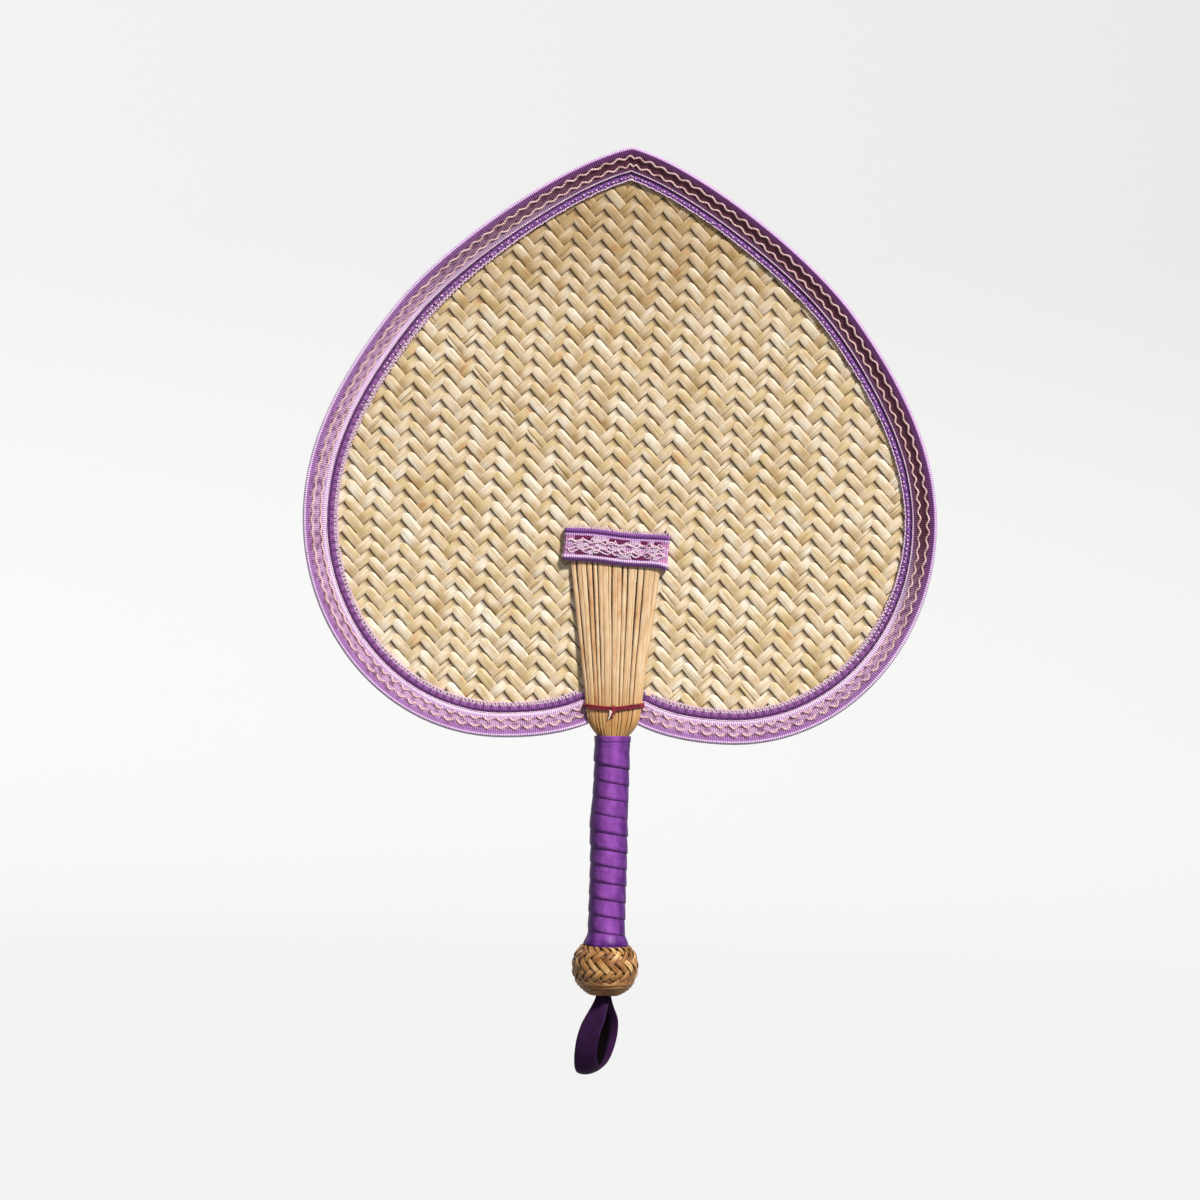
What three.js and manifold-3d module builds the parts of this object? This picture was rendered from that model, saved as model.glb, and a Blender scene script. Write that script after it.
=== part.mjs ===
// Woven straw hand fan with a ribbon-bound rim, a splint handle, a straw knob and a ribbon hang loop.
// Millimetres. The tip points up (+Z), the front faces -Y, and the origin is the middle of the grip.
import * as THREE from "three";
import { mergeVertices } from "three/addons/utils/BufferGeometryUtils.js";
import Module from "manifold-3d";

const wasm = await Module();
wasm.setup();

// Clearance between pieces that touch on the real fan
const GAP = 0.3;

// Heights of the blade, splints, bands and tie are measured from the top of the grip

// Blade: half outline from the notch at the handle, round the lobe and the side, to the tip
const NOTCH_X = 9.5;
const NOTCH_Z = 6;
const NOTCH_SLOPE_DEG = -26;
const NOTCH_REACH = 13;
const LOBE_X = 49;
const LOBE_Z = -1.5;
const LOBE_REACH = 48;
const SIDE_X = 134.5;
const SIDE_Z = 92;
const SIDE_REACH_DOWN = 51.5;
const SIDE_REACH_UP = 29.5;
const SHOULDER_X = 97;
const SHOULDER_Z = 182;
const SHOULDER_SLOPE_DEG = 52.5;
const SHOULDER_REACH_DOWN = 39.5;
const SHOULDER_REACH_UP = 33;
const TIP_Z = 250.5;
const TIP_SLOPE_DEG = 12;
const TIP_REACH = 27;
const MAT_THICK = 1.8;
const TAIL_WIDTH = 8;
const TAIL_LENGTH = 8;

// Weave: a step along a row and up a column of its cells, how both lean, and the foot of one chevron
const ROW_STEP = 3.109;
const COLUMN_STEP = 3.226;
const ROW_LEAN_DEG = 0.8;
const COLUMN_LEAN_DEG = 3;
const CHEVRON_X = -51.5;
const CHEVRON_Z = 19.5;
const WEAVE_DEPTH = 0.35;

// Tape of the binding and the bands
const TAPE_THICK = 0.8;
const BINDING_FRONT_WIDTH = 15.3;
const BINDING_BACK_WIDTH = 14;
const BINDING_SEAM_INSET = 10.8;
const SEAM_DEPTH = 0.45;
const SEAM_HALF_WIDTH = 1.1;
const CANE_DIA = 2.4;
const LIP_EASE_LENGTH = 16;
const LIP_AT_ENDS = 0.12;

// Splints, the same in front and behind
const SPLINTS_PER_SIDE = 17;
const SPLINT_THICK = 0.9;
const SPLINT_GAP = 0.3;
const SPLINT_CROWN = 0.12;
const SPLINT_VARIATION = 0.22;
const SPLINT_VARIATION_TURN = 2.4;
const SPLINT_TOP_Z = 84.5;
const FAN_TOP_DEPTH = 0.5;
const FAN_TOP_SHIFT = -1.2;
const NOTCH_HALF_WIDTH = 9.5;
const NOTCH_DEPTH = 3.7;
const NECK_RISE = 1;

// Bands sewn across the splints' upper ends
const BAND_LENGTH = 43.2;
const BAND_WIDTH = 15.1;
const BAND_Z = 80.8;
const BAND_TILT_DEG = 3.2;
const BAND_END_FOLD = 1.2;
const BAND_SIDE_CLEARANCE = 1.4;

// Tie thread
const TIE_Z = 13.7;
const TIE_TURNS = 2;
const TIE_DIA = 0.8;
const TIE_SPACE = 0.45;
const TIE_SLACK = 0.45;
const TIE_HALF_WIDTH = 11.5;
const TIE_DEPTH = 3.2;

// Handle
const CORE_RADIUS = 5.1;
const CORE_TOP_RADIUS = 3.4;
const CORE_TAPER_LENGTH = 14;
const GRIP_LENGTH = 88;
const WRAP_TURNS = 11.5;
const WRAP_THICK = 0.9;
const WRAP_EDGE_THICK = 0.6;
const WRAP_SPACE = 0.55;

// Knob
const KNOB_RADIUS = 14.1;
const KNOB_ABOVE_MIDDLE = 8.9;
const KNOB_BELOW_MIDDLE = 12;
const KNOB_FULLNESS = 2.2;
const KNOB_FOOT_RIM = 0.2;
const KNOB_COVER_THICK = 1.5;
const CORE_IN_KNOB = 11;
const KNOT_RADIUS = 4.4;
const KNOT_LENGTH = 4.6;
const NECK_RADIUS = 2.6;

// Hang loop: a ribbon ring in an upright plane that is turned about the handle's axis
const LOOP_RIBBON_WIDTH = 10.5;
const LOOP_RIBBON_THICK = 0.8;
const LOOP_EYE_RADIUS = 1.5;
const LOOP_LENGTH = 32.3;
const LOOP_HALF_WIDTH = 9.2;
const LOOP_BELLY_DOWN = 19;
const LOOP_TURN_DEG = 64;
const LOOP_LEAN_DEG = 9;

// Colours
const STRAW = 0xd8c08a;
const SPLINT_TAN = 0xd6ab74;
const TAPE_PURPLE = 0x8a4fa0;
const BAND_LILAC = 0xa06ab4;
const RIBBON_PURPLE = 0x5e2a8c;
const THREAD_RED = 0xa3213a;
const CANE_BROWN = 0xc09a5e;
const KNOB_GOLD = 0xb98f4e;

// Facets
const OUTLINE_STEPS = [5, 11, 8, 9];
const LATHE_SEGMENTS = 28;
const KNOB_RINGS = 9;
const CANE_SIDES = 6;
const LOOP_STEPS = 24;
const SECTION_SIDES = 6;
const RIBBON_STEPS = 20;

// Places that follow from the sizes
const seat = MAT_THICK / 2 + GAP;
const tapeFace = seat + TAPE_THICK;
const gripTop = GRIP_LENGTH / 2;
const gripFoot = -GRIP_LENGTH / 2;
const splintMidRadius = CORE_RADIUS + GAP + SPLINT_THICK / 2;
const splintOuterRadius = splintMidRadius + SPLINT_THICK / 2;
const knobTop = gripFoot - GAP;
const degrees = THREE.MathUtils.degToRad;

function pieceMaterial(color, roughness) {
  return new THREE.MeshStandardMaterial({ color, roughness, metalness: 0 });
}

function piece(name, geometry, color, roughness) {
  const mesh = new THREE.Mesh(geometry, pieceMaterial(color, roughness));
  mesh.name = name;
  return mesh;
}

// Solids from rings of points, and cuts between solids

function weld(geometry) {
  const bare = geometry.index ? geometry.clone() : mergeVertices(geometry);
  bare.deleteAttribute("normal");
  bare.deleteAttribute("uv");
  return mergeVertices(bare, 1e-4);
}

function signedVolume(positions, index) {
  const [a, b, c] = [new THREE.Vector3(), new THREE.Vector3(), new THREE.Vector3()];
  let sum = 0;
  for (let i = 0; i < index.length; i += 3) {
    a.fromArray(positions, 3 * index[i]);
    b.fromArray(positions, 3 * index[i + 1]);
    c.fromArray(positions, 3 * index[i + 2]);
    sum += a.dot(b.cross(c));
  }
  return sum / 6;
}

// Joins rings of equal length into one closed body; the end rings are capped with the given triangles
function ringSolid(rings, capTriangles) {
  const count = rings[0].length;
  const positions = rings.flat().flatMap((p) => [p.x, p.y, p.z]);
  const index = [];
  for (let r = 0; r + 1 < rings.length; r += 1) {
    for (let k = 0; k < count; k += 1) {
      const a = r * count + k;
      const b = r * count + ((k + 1) % count);
      index.push(a, b, a + count, b, b + count, a + count);
    }
  }
  const last = (rings.length - 1) * count;
  for (const [a, b, c] of capTriangles) {
    index.push(c, b, a, last + a, last + b, last + c);
  }
  if (signedVolume(positions, index) < 0) {
    index.reverse();
  }
  const geometry = new THREE.BufferGeometry();
  geometry.setAttribute("position", new THREE.Float32BufferAttribute(positions, 3));
  geometry.setIndex(index);
  geometry.computeVertexNormals();
  return geometry;
}

function fanTriangles(count) {
  return Array.from({ length: count - 2 }, (_, i) => [0, i + 1, i + 2]);
}

function toSolid(geometry) {
  const welded = weld(geometry);
  const vertProperties = Float32Array.from(welded.attributes.position.array);
  const triVerts = Uint32Array.from(welded.index.array);
  return new wasm.Manifold(new wasm.Mesh({ numProp: 3, vertProperties, triVerts }));
}

function toGeometry(solid) {
  const mesh = solid.getMesh();
  const geometry = new THREE.BufferGeometry();
  const position = new THREE.BufferAttribute(Float32Array.from(mesh.vertProperties), 3);
  geometry.setAttribute("position", position);
  geometry.setIndex(Array.from(mesh.triVerts));
  geometry.computeVertexNormals();
  return geometry;
}

function cut(geometry, ...cutters) {
  return toGeometry(cutters.reduce((solid, cutter) => solid.subtract(toSolid(cutter)), toSolid(geometry)));
}

// A body of revolution about the handle's axis, from (radius, height) pairs
function turned(profile) {
  const points = profile.map(([radius, height]) => new THREE.Vector2(radius, height));
  const geometry = new THREE.LatheGeometry(points, LATHE_SEGMENTS).rotateX(Math.PI / 2);
  const welded = weld(geometry);
  const index = Array.from(welded.index.array);
  if (signedVolume(welded.attributes.position.array, index) < 0) {
    welded.setIndex(index.reverse());
  }
  welded.computeVertexNormals();
  return welded;
}

// A round tube along a path that stays near level
function tube(path, radius, sides) {
  const up = new THREE.Vector3(0, 0, 1);
  const rings = path.map((point, i) => {
    const before = path[Math.max(i - 1, 0)];
    const after = path[Math.min(i + 1, path.length - 1)];
    const along = after.clone().sub(before).normalize();
    const side = along.clone().cross(up).normalize();
    const rise = side.clone().cross(along);
    return Array.from({ length: sides }, (_, k) => {
      const turn = (2 * Math.PI * k) / sides;
      const sideways = side.clone().multiplyScalar(radius * Math.cos(turn));
      return rise.clone().multiplyScalar(radius * Math.sin(turn)).add(sideways).add(point);
    });
  });
  return ringSolid(rings, fanTriangles(sides));
}

// The least distance between points of a winding that lie at least half a turn apart along it
function leastSelfGap(rings, stepsPerTurn) {
  let least = Infinity;
  for (let i = 0; i < rings.length; i += 1) {
    for (let j = i + stepsPerTurn / 2; j < rings.length; j += 1) {
      for (const a of rings[i]) {
        for (const b of rings[j]) {
          least = Math.min(least, a.distanceTo(b));
        }
      }
    }
  }
  return least;
}

// Blade outline: stations from the left notch over the tip to the right notch

function halfOutlineCurves() {
  const reach = (x, z, deg, length) =>
    new THREE.Vector2(x + length * Math.cos(degrees(deg)), z + length * Math.sin(degrees(deg)));
  const notch = new THREE.Vector2(NOTCH_X, NOTCH_Z);
  const lobe = new THREE.Vector2(LOBE_X, LOBE_Z);
  const side = new THREE.Vector2(SIDE_X, SIDE_Z);
  const shoulder = new THREE.Vector2(SHOULDER_X, SHOULDER_Z);
  const tip = new THREE.Vector2(0, TIP_Z);
  return [
    new THREE.CubicBezierCurve(
      notch,
      reach(NOTCH_X, NOTCH_Z, NOTCH_SLOPE_DEG, NOTCH_REACH),
      reach(LOBE_X, LOBE_Z, 180, NOTCH_REACH),
      lobe,
    ),
    new THREE.CubicBezierCurve(
      lobe,
      reach(LOBE_X, LOBE_Z, 0, LOBE_REACH),
      reach(SIDE_X, SIDE_Z, -90, SIDE_REACH_DOWN),
      side,
    ),
    new THREE.CubicBezierCurve(
      side,
      reach(SIDE_X, SIDE_Z, 90, SIDE_REACH_UP),
      reach(SHOULDER_X, SHOULDER_Z, -SHOULDER_SLOPE_DEG, SHOULDER_REACH_DOWN),
      shoulder,
    ),
    new THREE.CubicBezierCurve(
      shoulder,
      reach(SHOULDER_X, SHOULDER_Z, 180 - SHOULDER_SLOPE_DEG, SHOULDER_REACH_UP),
      reach(0, TIP_Z, -TIP_SLOPE_DEG, TIP_REACH),
      tip,
    ),
  ];
}

function outlineStations() {
  const right = [];
  halfOutlineCurves().forEach((curve, c) => {
    const steps = OUTLINE_STEPS[c];
    for (let i = c === 0 ? 0 : 1; i <= steps; i += 1) {
      const point = curve.getPoint(i / steps);
      const along = curve.getTangent(i / steps);
      right.push({ point, outward: new THREE.Vector2(along.y, -along.x) });
    }
  });
  right[right.length - 1].outward.set(0, 1);
  let run = 0;
  right.forEach((station, i) => {
    run += i > 0 ? station.point.distanceTo(right[i - 1].point) : 0;
    station.lip = THREE.MathUtils.lerp(LIP_AT_ENDS, 1, THREE.MathUtils.smoothstep(run, 0, LIP_EASE_LENGTH));
  });
  const mirror = (v) => new THREE.Vector2(-v.x, v.y);
  const left = right.slice(0, -1).map((station) => ({
    point: mirror(station.point),
    outward: mirror(station.outward),
    lip: station.lip,
  }));
  return [...left, ...right.reverse()];
}

const stations = outlineStations();

// A point of the rim: so far outward of the outline, and so far to the front of the mat's middle
function rimPoint(station, outward, front) {
  const flat = station.point.clone().addScaledVector(station.outward, outward);
  return new THREE.Vector3(flat.x, -front, flat.y);
}

// Weave: each face is tiled by floats, two cells long and one wide; those of one slant swell over the others

const matFace = MAT_THICK / 2;
const floatAlongI = [[1, 0], [2, 0], [2, 1], [1, 1], [0, 1], [0, 0]];
const floatAlongJ = [[1, 1], [1, 2], [0, 2], [0, 1], [0, 0], [1, 0]];
const weaveRow = new THREE.Vector2(Math.cos(degrees(ROW_LEAN_DEG)), -Math.sin(degrees(ROW_LEAN_DEG)));
const weaveColumn = new THREE.Vector2(Math.sin(degrees(COLUMN_LEAN_DEG)), Math.cos(degrees(COLUMN_LEAN_DEG)));

// A corner of the cells, counted across the strips of each slant
function weaveCorner([i, j]) {
  return new THREE.Vector2(CHEVRON_X, CHEVRON_Z)
    .addScaledVector(weaveRow, ROW_STEP * (i + j - 2.5))
    .addScaledVector(weaveColumn, COLUMN_STEP * (i - j + 1.5));
}

function isInside(point, polygon) {
  let inside = false;
  polygon.forEach((a, k) => {
    const b = polygon[(k + 1) % polygon.length];
    const straddles = a.y > point.y !== b.y > point.y;
    if (straddles && point.x < a.x + ((point.y - a.y) * (b.x - a.x)) / (b.y - a.y)) {
      inside = !inside;
    }
  });
  return inside;
}

function isUnderSplints(point) {
  const share = Math.min((point.y - TIE_Z) / (bandFoot - TIE_Z), 1);
  const spread = THREE.MathUtils.lerp(TIE_HALF_WIDTH, fanTopHalfWidth, share);
  return point.y < SPLINT_TOP_Z && Math.abs(point.x - FAN_TOP_SHIFT * share) < spread;
}

// The floats of one face that show between the binding and the splints
function shownFloats(facing) {
  const field = stations.map((s) => s.point.clone().addScaledVector(s.outward, -BINDING_FRONT_WIDTH - GAP));
  const reach = Math.ceil((TIP_Z + SIDE_X) / Math.min(ROW_STEP, COLUMN_STEP));
  const floats = [];
  for (let i = -reach; i <= reach; i += 1) {
    for (let j = -reach; j <= reach; j += 1) {
      const phase = THREE.MathUtils.euclideanModulo(i + j, 4);
      const shape = (phase === 0) === (facing > 0) ? floatAlongJ : floatAlongI;
      const corners = shape.map(([a, b]) => [i + a, j + b]);
      const points = corners.map(weaveCorner);
      const shows = points.every((p) => isInside(p, field)) && !points.every(isUnderSplints);
      if (phase % 2 === 0 && shows) {
        floats.push({ corners, swells: phase === 0 });
      }
    }
  }
  return withoutPinches(floats);
}

function borderSides(floats) {
  const sides = floats.flatMap(({ corners }) =>
    corners.map((corner, k) => [corner, corners[(k + 1) % corners.length]]),
  );
  const known = new Set(sides.map(([from, to]) => `${from} ${to}`));
  return sides.filter(([from, to]) => !known.has(`${to} ${from}`));
}

// Leaves out floats that meet others at a single corner, so that each border is a plain loop
function withoutPinches(floats) {
  const starts = borderSides(floats).map(([from]) => `${from}`);
  const pinched = new Set(starts.filter((corner, k) => starts.indexOf(corner) !== k));
  if (pinched.size === 0) {
    return floats;
  }
  return withoutPinches(floats.filter(({ corners }) => !corners.some((corner) => pinched.has(`${corner}`))));
}

function borderLoops(floats) {
  const next = new Map(borderSides(floats).map(([from, to]) => [`${from}`, to]));
  const loops = [];
  while (next.size > 0) {
    const loop = [];
    let key = next.keys().next().value;
    while (next.has(key)) {
      const corner = next.get(key);
      next.delete(key);
      loop.push(corner);
      key = `${corner}`;
    }
    loops.push(loop);
  }
  return loops;
}

// Triangles of one face of the blade: the floats, and the plain mat round them
function bladeFace(contour, facing) {
  const floats = shownFloats(facing);
  const loops = borderLoops(floats);
  const level = new Set(loops.flat().map(String));
  const onFace = (flat, front) => new THREE.Vector3(flat.x, -facing * front, flat.y);
  const corner = (place) =>
    onFace(weaveCorner(place), level.has(`${place}`) ? matFace : matFace - WEAVE_DEPTH);
  const triangles = [];
  for (const { corners, swells } of floats) {
    const rim = corners.map(corner);
    const crest = rim.reduce((sum, p) => sum.add(p), new THREE.Vector3()).divideScalar(rim.length);
    crest.y = -facing * matFace;
    const swollen = rim.map((p, k) => [p, rim[(k + 1) % rim.length], crest]);
    const flat = fanTriangles(rim.length).map((triple) => triple.map((k) => rim[k]));
    triangles.push(...(swells ? swollen : flat));
  }
  const borders = loops.map((loop) => loop.map(weaveCorner));
  const holes = borders.filter((border) => THREE.ShapeUtils.isClockWise(border));
  const islands = borders.filter((border) => !THREE.ShapeUtils.isClockWise(border));
  const plain = [[contour, holes], ...islands.map((island) => [island, []])];
  for (const [outer, inner] of plain) {
    const points = [outer, ...inner].flat();
    for (const [a, b, c] of THREE.ShapeUtils.triangulateShape(outer, inner)) {
      triangles.push([a, b, c].map((k) => onFace(points[k], matFace)));
    }
  }
  return triangles.map(([a, b, c]) => {
    const turn = (b.x - a.x) * (c.z - a.z) - (b.z - a.z) * (c.x - a.x);
    return turn * facing > 0 ? [a, b, c] : [a, c, b];
  });
}

function bladeEdge(contour) {
  return contour.flatMap((from, k) => {
    const to = contour[(k + 1) % contour.length];
    const [a, b] = [from, to].map((p) => new THREE.Vector3(p.x, -matFace, p.y));
    const [c, d] = [to, from].map((p) => new THREE.Vector3(p.x, matFace, p.y));
    return [[a, b, c], [a, c, d]];
  });
}

function bladeGeometry(tieHoles) {
  const inset = -(TAPE_THICK + GAP);
  const edge = stations.map((s) => s.point.clone().addScaledVector(s.outward, inset));
  const foot = edge[0].y - TAIL_LENGTH;
  const tail = [
    new THREE.Vector2(TAIL_WIDTH / 2, edge[0].y),
    new THREE.Vector2(TAIL_WIDTH / 2, foot),
    new THREE.Vector2(-TAIL_WIDTH / 2, foot),
    new THREE.Vector2(-TAIL_WIDTH / 2, edge[0].y),
  ];
  const contour = [...edge, ...tail];
  const triangles = [...bladeFace(contour, 1), ...bladeFace(contour, -1), ...bladeEdge(contour)];
  const mat = new THREE.BufferGeometry().setFromPoints(triangles.flat());
  return cut(mat, tieHoles);
}

// Cane under the binding, on the front of the mat's edge
const caneInset = TAPE_THICK + GAP + CANE_DIA / 2;
const caneFront = seat + CANE_DIA / 2;

function caneGeometry() {
  const full = stations.filter((s) => s.lip === 1);
  const rings = full.map((station) =>
    Array.from({ length: CANE_SIDES }, (_, k) => {
      const turn = (2 * Math.PI * (k + 0.5)) / CANE_SIDES;
      const out = (CANE_DIA / 2) * Math.cos(turn) - caneInset;
      return rimPoint(station, out, caneFront + (CANE_DIA / 2) * Math.sin(turn));
    }),
  );
  return ringSolid(rings, fanTriangles(CANE_SIDES));
}

// Section of the folded tape, counter-clockwise, as [outward, front, how far the cane lifts it]
function bindingSection() {
  const lift = CANE_DIA + GAP;
  const slope = -(caneInset + BINDING_SEAM_INSET) / 2;
  const seam = -BINDING_SEAM_INSET;
  const bend = TAPE_THICK + GAP;
  const outside = [
    [-BINDING_FRONT_WIDTH, tapeFace, 0],
    [seam - SEAM_HALF_WIDTH, tapeFace, 0],
    [seam, tapeFace - SEAM_DEPTH, 0],
    [seam + SEAM_HALF_WIDTH, tapeFace, 0.13 * lift],
    [slope, tapeFace, 0.56 * lift],
    [-caneInset, tapeFace, lift],
    [-0.3 * caneInset, tapeFace, 0.8 * lift],
    [0, seat, 0.5 * lift],
    [0, -seat + GAP, 0],
    [-bend * 0.7, -tapeFace, 0],
    [-BINDING_BACK_WIDTH, -tapeFace, 0],
  ];
  const inside = [
    [-BINDING_BACK_WIDTH, -seat, 0],
    [-TAPE_THICK, -seat, 0],
    [-TAPE_THICK, seat - GAP, 0.65 * lift],
    [-0.6 * caneInset, seat, 0.95 * lift],
    [-caneInset, seat, lift],
    [-1.5 * caneInset, seat, 0.9 * lift],
    [slope, seat, 0.5 * lift],
    [seam + SEAM_HALF_WIDTH, seat, 0.04 * lift],
    [-BINDING_FRONT_WIDTH, seat, 0],
  ];
  return [...outside, ...inside].reverse();
}

function bindingGeometry(tieHoles) {
  const section = bindingSection();
  const contour = section.map(([out, front, lift]) => new THREE.Vector2(out, front + lift * LIP_AT_ENDS));
  const rings = stations.map((station) =>
    section.map(([out, front, lift]) => rimPoint(station, out, front + lift * station.lip)),
  );
  const caps = THREE.ShapeUtils.triangulateShape(contour, []);
  return cut(ringSolid(rings, caps), tieHoles);
}

// Splints: the bundle's cross-section is half an ellipse that goes from flat at the top to round in the grip

const overBinding = tapeFace + GAP + SPLINT_THICK / 2;
const overMat = seat + SPLINT_THICK / 2;
const bindingTop = NOTCH_Z + BINDING_FRONT_WIDTH + GAP;
const gripBase = SPLINT_GAP;
const fanTopHalfWidth = BAND_LENGTH / 2 - BAND_END_FOLD - BAND_SIDE_CLEARANCE;
const bandFoot = BAND_Z - (BAND_WIDTH + BAND_LENGTH * Math.sin(degrees(BAND_TILT_DEG))) / 2;

const aboveTie = (bindingTop - TIE_Z) / (SPLINT_TOP_Z - TIE_Z);
const belowBand = (bindingTop - TIE_Z) / (bandFoot - TIE_Z);
const overBindingDepth = THREE.MathUtils.lerp(TIE_DEPTH, FAN_TOP_DEPTH, aboveTie);
const bandRise = (bandFoot - bindingTop) / (SPLINT_TOP_Z - bindingTop);
const gripDepth = splintMidRadius - gripBase;
const splintFootZ = GAP - GRIP_LENGTH;

const bundleLevels = [
  { z: SPLINT_TOP_Z, shift: FAN_TOP_SHIFT, half: fanTopHalfWidth, depth: FAN_TOP_DEPTH, base: overMat },
  {
    z: bandFoot,
    shift: FAN_TOP_SHIFT,
    half: fanTopHalfWidth,
    depth: THREE.MathUtils.lerp(overBindingDepth, FAN_TOP_DEPTH, bandRise),
    base: THREE.MathUtils.lerp(overBinding, overMat, bandRise),
  },
  {
    z: bindingTop,
    shift: FAN_TOP_SHIFT * belowBand,
    half: THREE.MathUtils.lerp(TIE_HALF_WIDTH, fanTopHalfWidth, belowBand),
    depth: overBindingDepth,
    base: overBinding,
  },
  { z: TIE_Z, shift: 0, half: TIE_HALF_WIDTH, depth: TIE_DEPTH, base: overBinding },
  { z: NOTCH_Z, shift: 0, half: NOTCH_HALF_WIDTH, depth: NOTCH_DEPTH, base: overBinding },
  { z: NECK_RISE, shift: 0, half: splintMidRadius, depth: gripDepth, base: gripBase },
  { z: splintFootZ, shift: 0, half: splintMidRadius, depth: gripDepth, base: gripBase },
];

const splintHeights = [
  SPLINT_TOP_Z,
  ...[1, 2 / 3, 1 / 3].map((share) => THREE.MathUtils.lerp(bindingTop, bandFoot, share)),
  bindingTop,
  TIE_Z,
  (TIE_Z + NOTCH_Z) / 2,
  NOTCH_Z,
  (NOTCH_Z + NECK_RISE) / 2,
  NECK_RISE,
  splintFootZ,
];

function bundleAt(z) {
  const i = bundleLevels.findIndex((level, k) => k > 0 && z >= level.z - 1e-6);
  const above = bundleLevels[i - 1];
  const below = bundleLevels[i];
  const share = (above.z - z) / (above.z - below.z);
  return {
    shift: THREE.MathUtils.lerp(above.shift, below.shift, share),
    half: THREE.MathUtils.lerp(above.half, below.half, share),
    depth: THREE.MathUtils.lerp(above.depth, below.depth, share),
    base: THREE.MathUtils.lerp(above.base, below.base, share),
  };
}

// A place on the bundle's arc at a share of its length, with the way out of the bundle there
function arcFrame(bundle, share) {
  const arc = new THREE.EllipseCurve(0, 0, bundle.half, bundle.depth, Math.PI, 0, true);
  arc.arcLengthDivisions = 120;
  const point = arc.getPointAt(share);
  const out = new THREE.Vector2(point.x / bundle.half ** 2, point.y / bundle.depth ** 2).normalize();
  return { x: point.x + bundle.shift, front: point.y + bundle.base, out, length: arc.getLength() };
}

function splintEdges() {
  const widths = Array.from(
    { length: SPLINTS_PER_SIDE },
    (_, i) => 1 + SPLINT_VARIATION * Math.sin(SPLINT_VARIATION_TURN * i + 1),
  );
  const total = widths.reduce((sum, width) => sum + width, 0);
  const edges = [0];
  for (const width of widths) {
    edges.push(edges[edges.length - 1] + width / total);
  }
  return edges;
}

function splintGeometry(from, to, facing) {
  const rings = splintHeights.map((z) => {
    const bundle = bundleAt(z);
    const spare = SPLINT_GAP / 2 / arcFrame(bundle, 0.5).length;
    const corner = (share, out) => {
      const frame = arcFrame(bundle, share);
      const x = frame.x + frame.out.x * out;
      return new THREE.Vector3(x, -facing * (frame.front + frame.out.y * out), z);
    };
    const half = SPLINT_THICK / 2;
    return [
      corner(from + spare, -half),
      corner(to - spare, -half),
      corner(to - spare, half - SPLINT_CROWN),
      corner((from + to) / 2, half),
      corner(from + spare, half - SPLINT_CROWN),
    ];
  });
  return ringSolid(rings, fanTriangles(rings[0].length));
}

// Bands: a strip with both ends folded down to the mat
function bandGeometry(facing) {
  const bundle = bundleAt(bandFoot);
  const under = bundle.base + bundle.depth + SPLINT_THICK / 2 + GAP;
  const over = under + TAPE_THICK;
  const half = BAND_LENGTH / 2;
  const shape = new THREE.Shape(
    [
      [-half, seat],
      [-half, over - TAPE_THICK / 2],
      [-half + TAPE_THICK / 2, over],
      [half - TAPE_THICK / 2, over],
      [half, over - TAPE_THICK / 2],
      [half, seat],
      [half - BAND_END_FOLD, seat],
      [half - BAND_END_FOLD, under],
      [-half + BAND_END_FOLD, under],
      [-half + BAND_END_FOLD, seat],
    ].map(([x, front]) => new THREE.Vector2(x, -facing * front)),
  );
  const strip = new THREE.ExtrudeGeometry(shape, { depth: BAND_WIDTH, bevelEnabled: false });
  return strip.translate(0, 0, -BAND_WIDTH / 2);
}

// Tie thread: turns that start and end behind, over the splints and through the mat beside them
function tiePath() {
  const out = SPLINT_THICK / 2 + TIE_SLACK + TIE_DIA / 2;
  const steps = TIE_TURNS * LOOP_STEPS;
  const drop = TIE_DIA + TIE_SPACE;
  return Array.from({ length: steps }, (_, i) => {
    const turn = Math.PI + (2 * Math.PI * (i + 0.5)) / LOOP_STEPS;
    const front = Math.cos(turn) * (TIE_DEPTH + out) + Math.sign(Math.cos(turn)) * overBinding;
    const z = TIE_Z + drop * (TIE_TURNS / 2 - (i + 0.5) / LOOP_STEPS);
    return new THREE.Vector3(Math.sin(turn) * (TIE_HALF_WIDTH + out), -front, z);
  });
}

// Handle wrap: one ribbon that winds down the grip
const wrapWidth = (GRIP_LENGTH - WRAP_TURNS * WRAP_SPACE) / (WRAP_TURNS + 1);
const wrapPitch = wrapWidth + WRAP_SPACE;

function wrapRings() {
  const inner = splintOuterRadius + GAP;
  const half = wrapWidth / 2;
  const section = [
    [-half, 0],
    [half, 0],
    [half, WRAP_EDGE_THICK],
    [half / 2, WRAP_THICK],
    [-half / 2, WRAP_THICK],
    [-half, WRAP_EDGE_THICK],
  ];
  const steps = Math.round(WRAP_TURNS * LOOP_STEPS);
  return Array.from({ length: steps + 1 }, (_, i) => {
    const turn = Math.PI + (2 * Math.PI * WRAP_TURNS * i) / steps;
    const z = gripTop - half - (wrapPitch * WRAP_TURNS * i) / steps;
    return section.map(([along, out]) => {
      const radius = inner + out;
      return new THREE.Vector3(radius * Math.sin(turn), -radius * Math.cos(turn), z + along);
    });
  });
}

// Handle core: a stick with a tapered top, slit for the foot of the mat
const coreNotch = gripTop + NOTCH_Z;
const slitFoot = coreNotch - TAPE_THICK - GAP - TAIL_LENGTH - GAP;
const coreTop = coreNotch + CORE_TAPER_LENGTH;
const coreFoot = knobTop - CORE_IN_KNOB;

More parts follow.
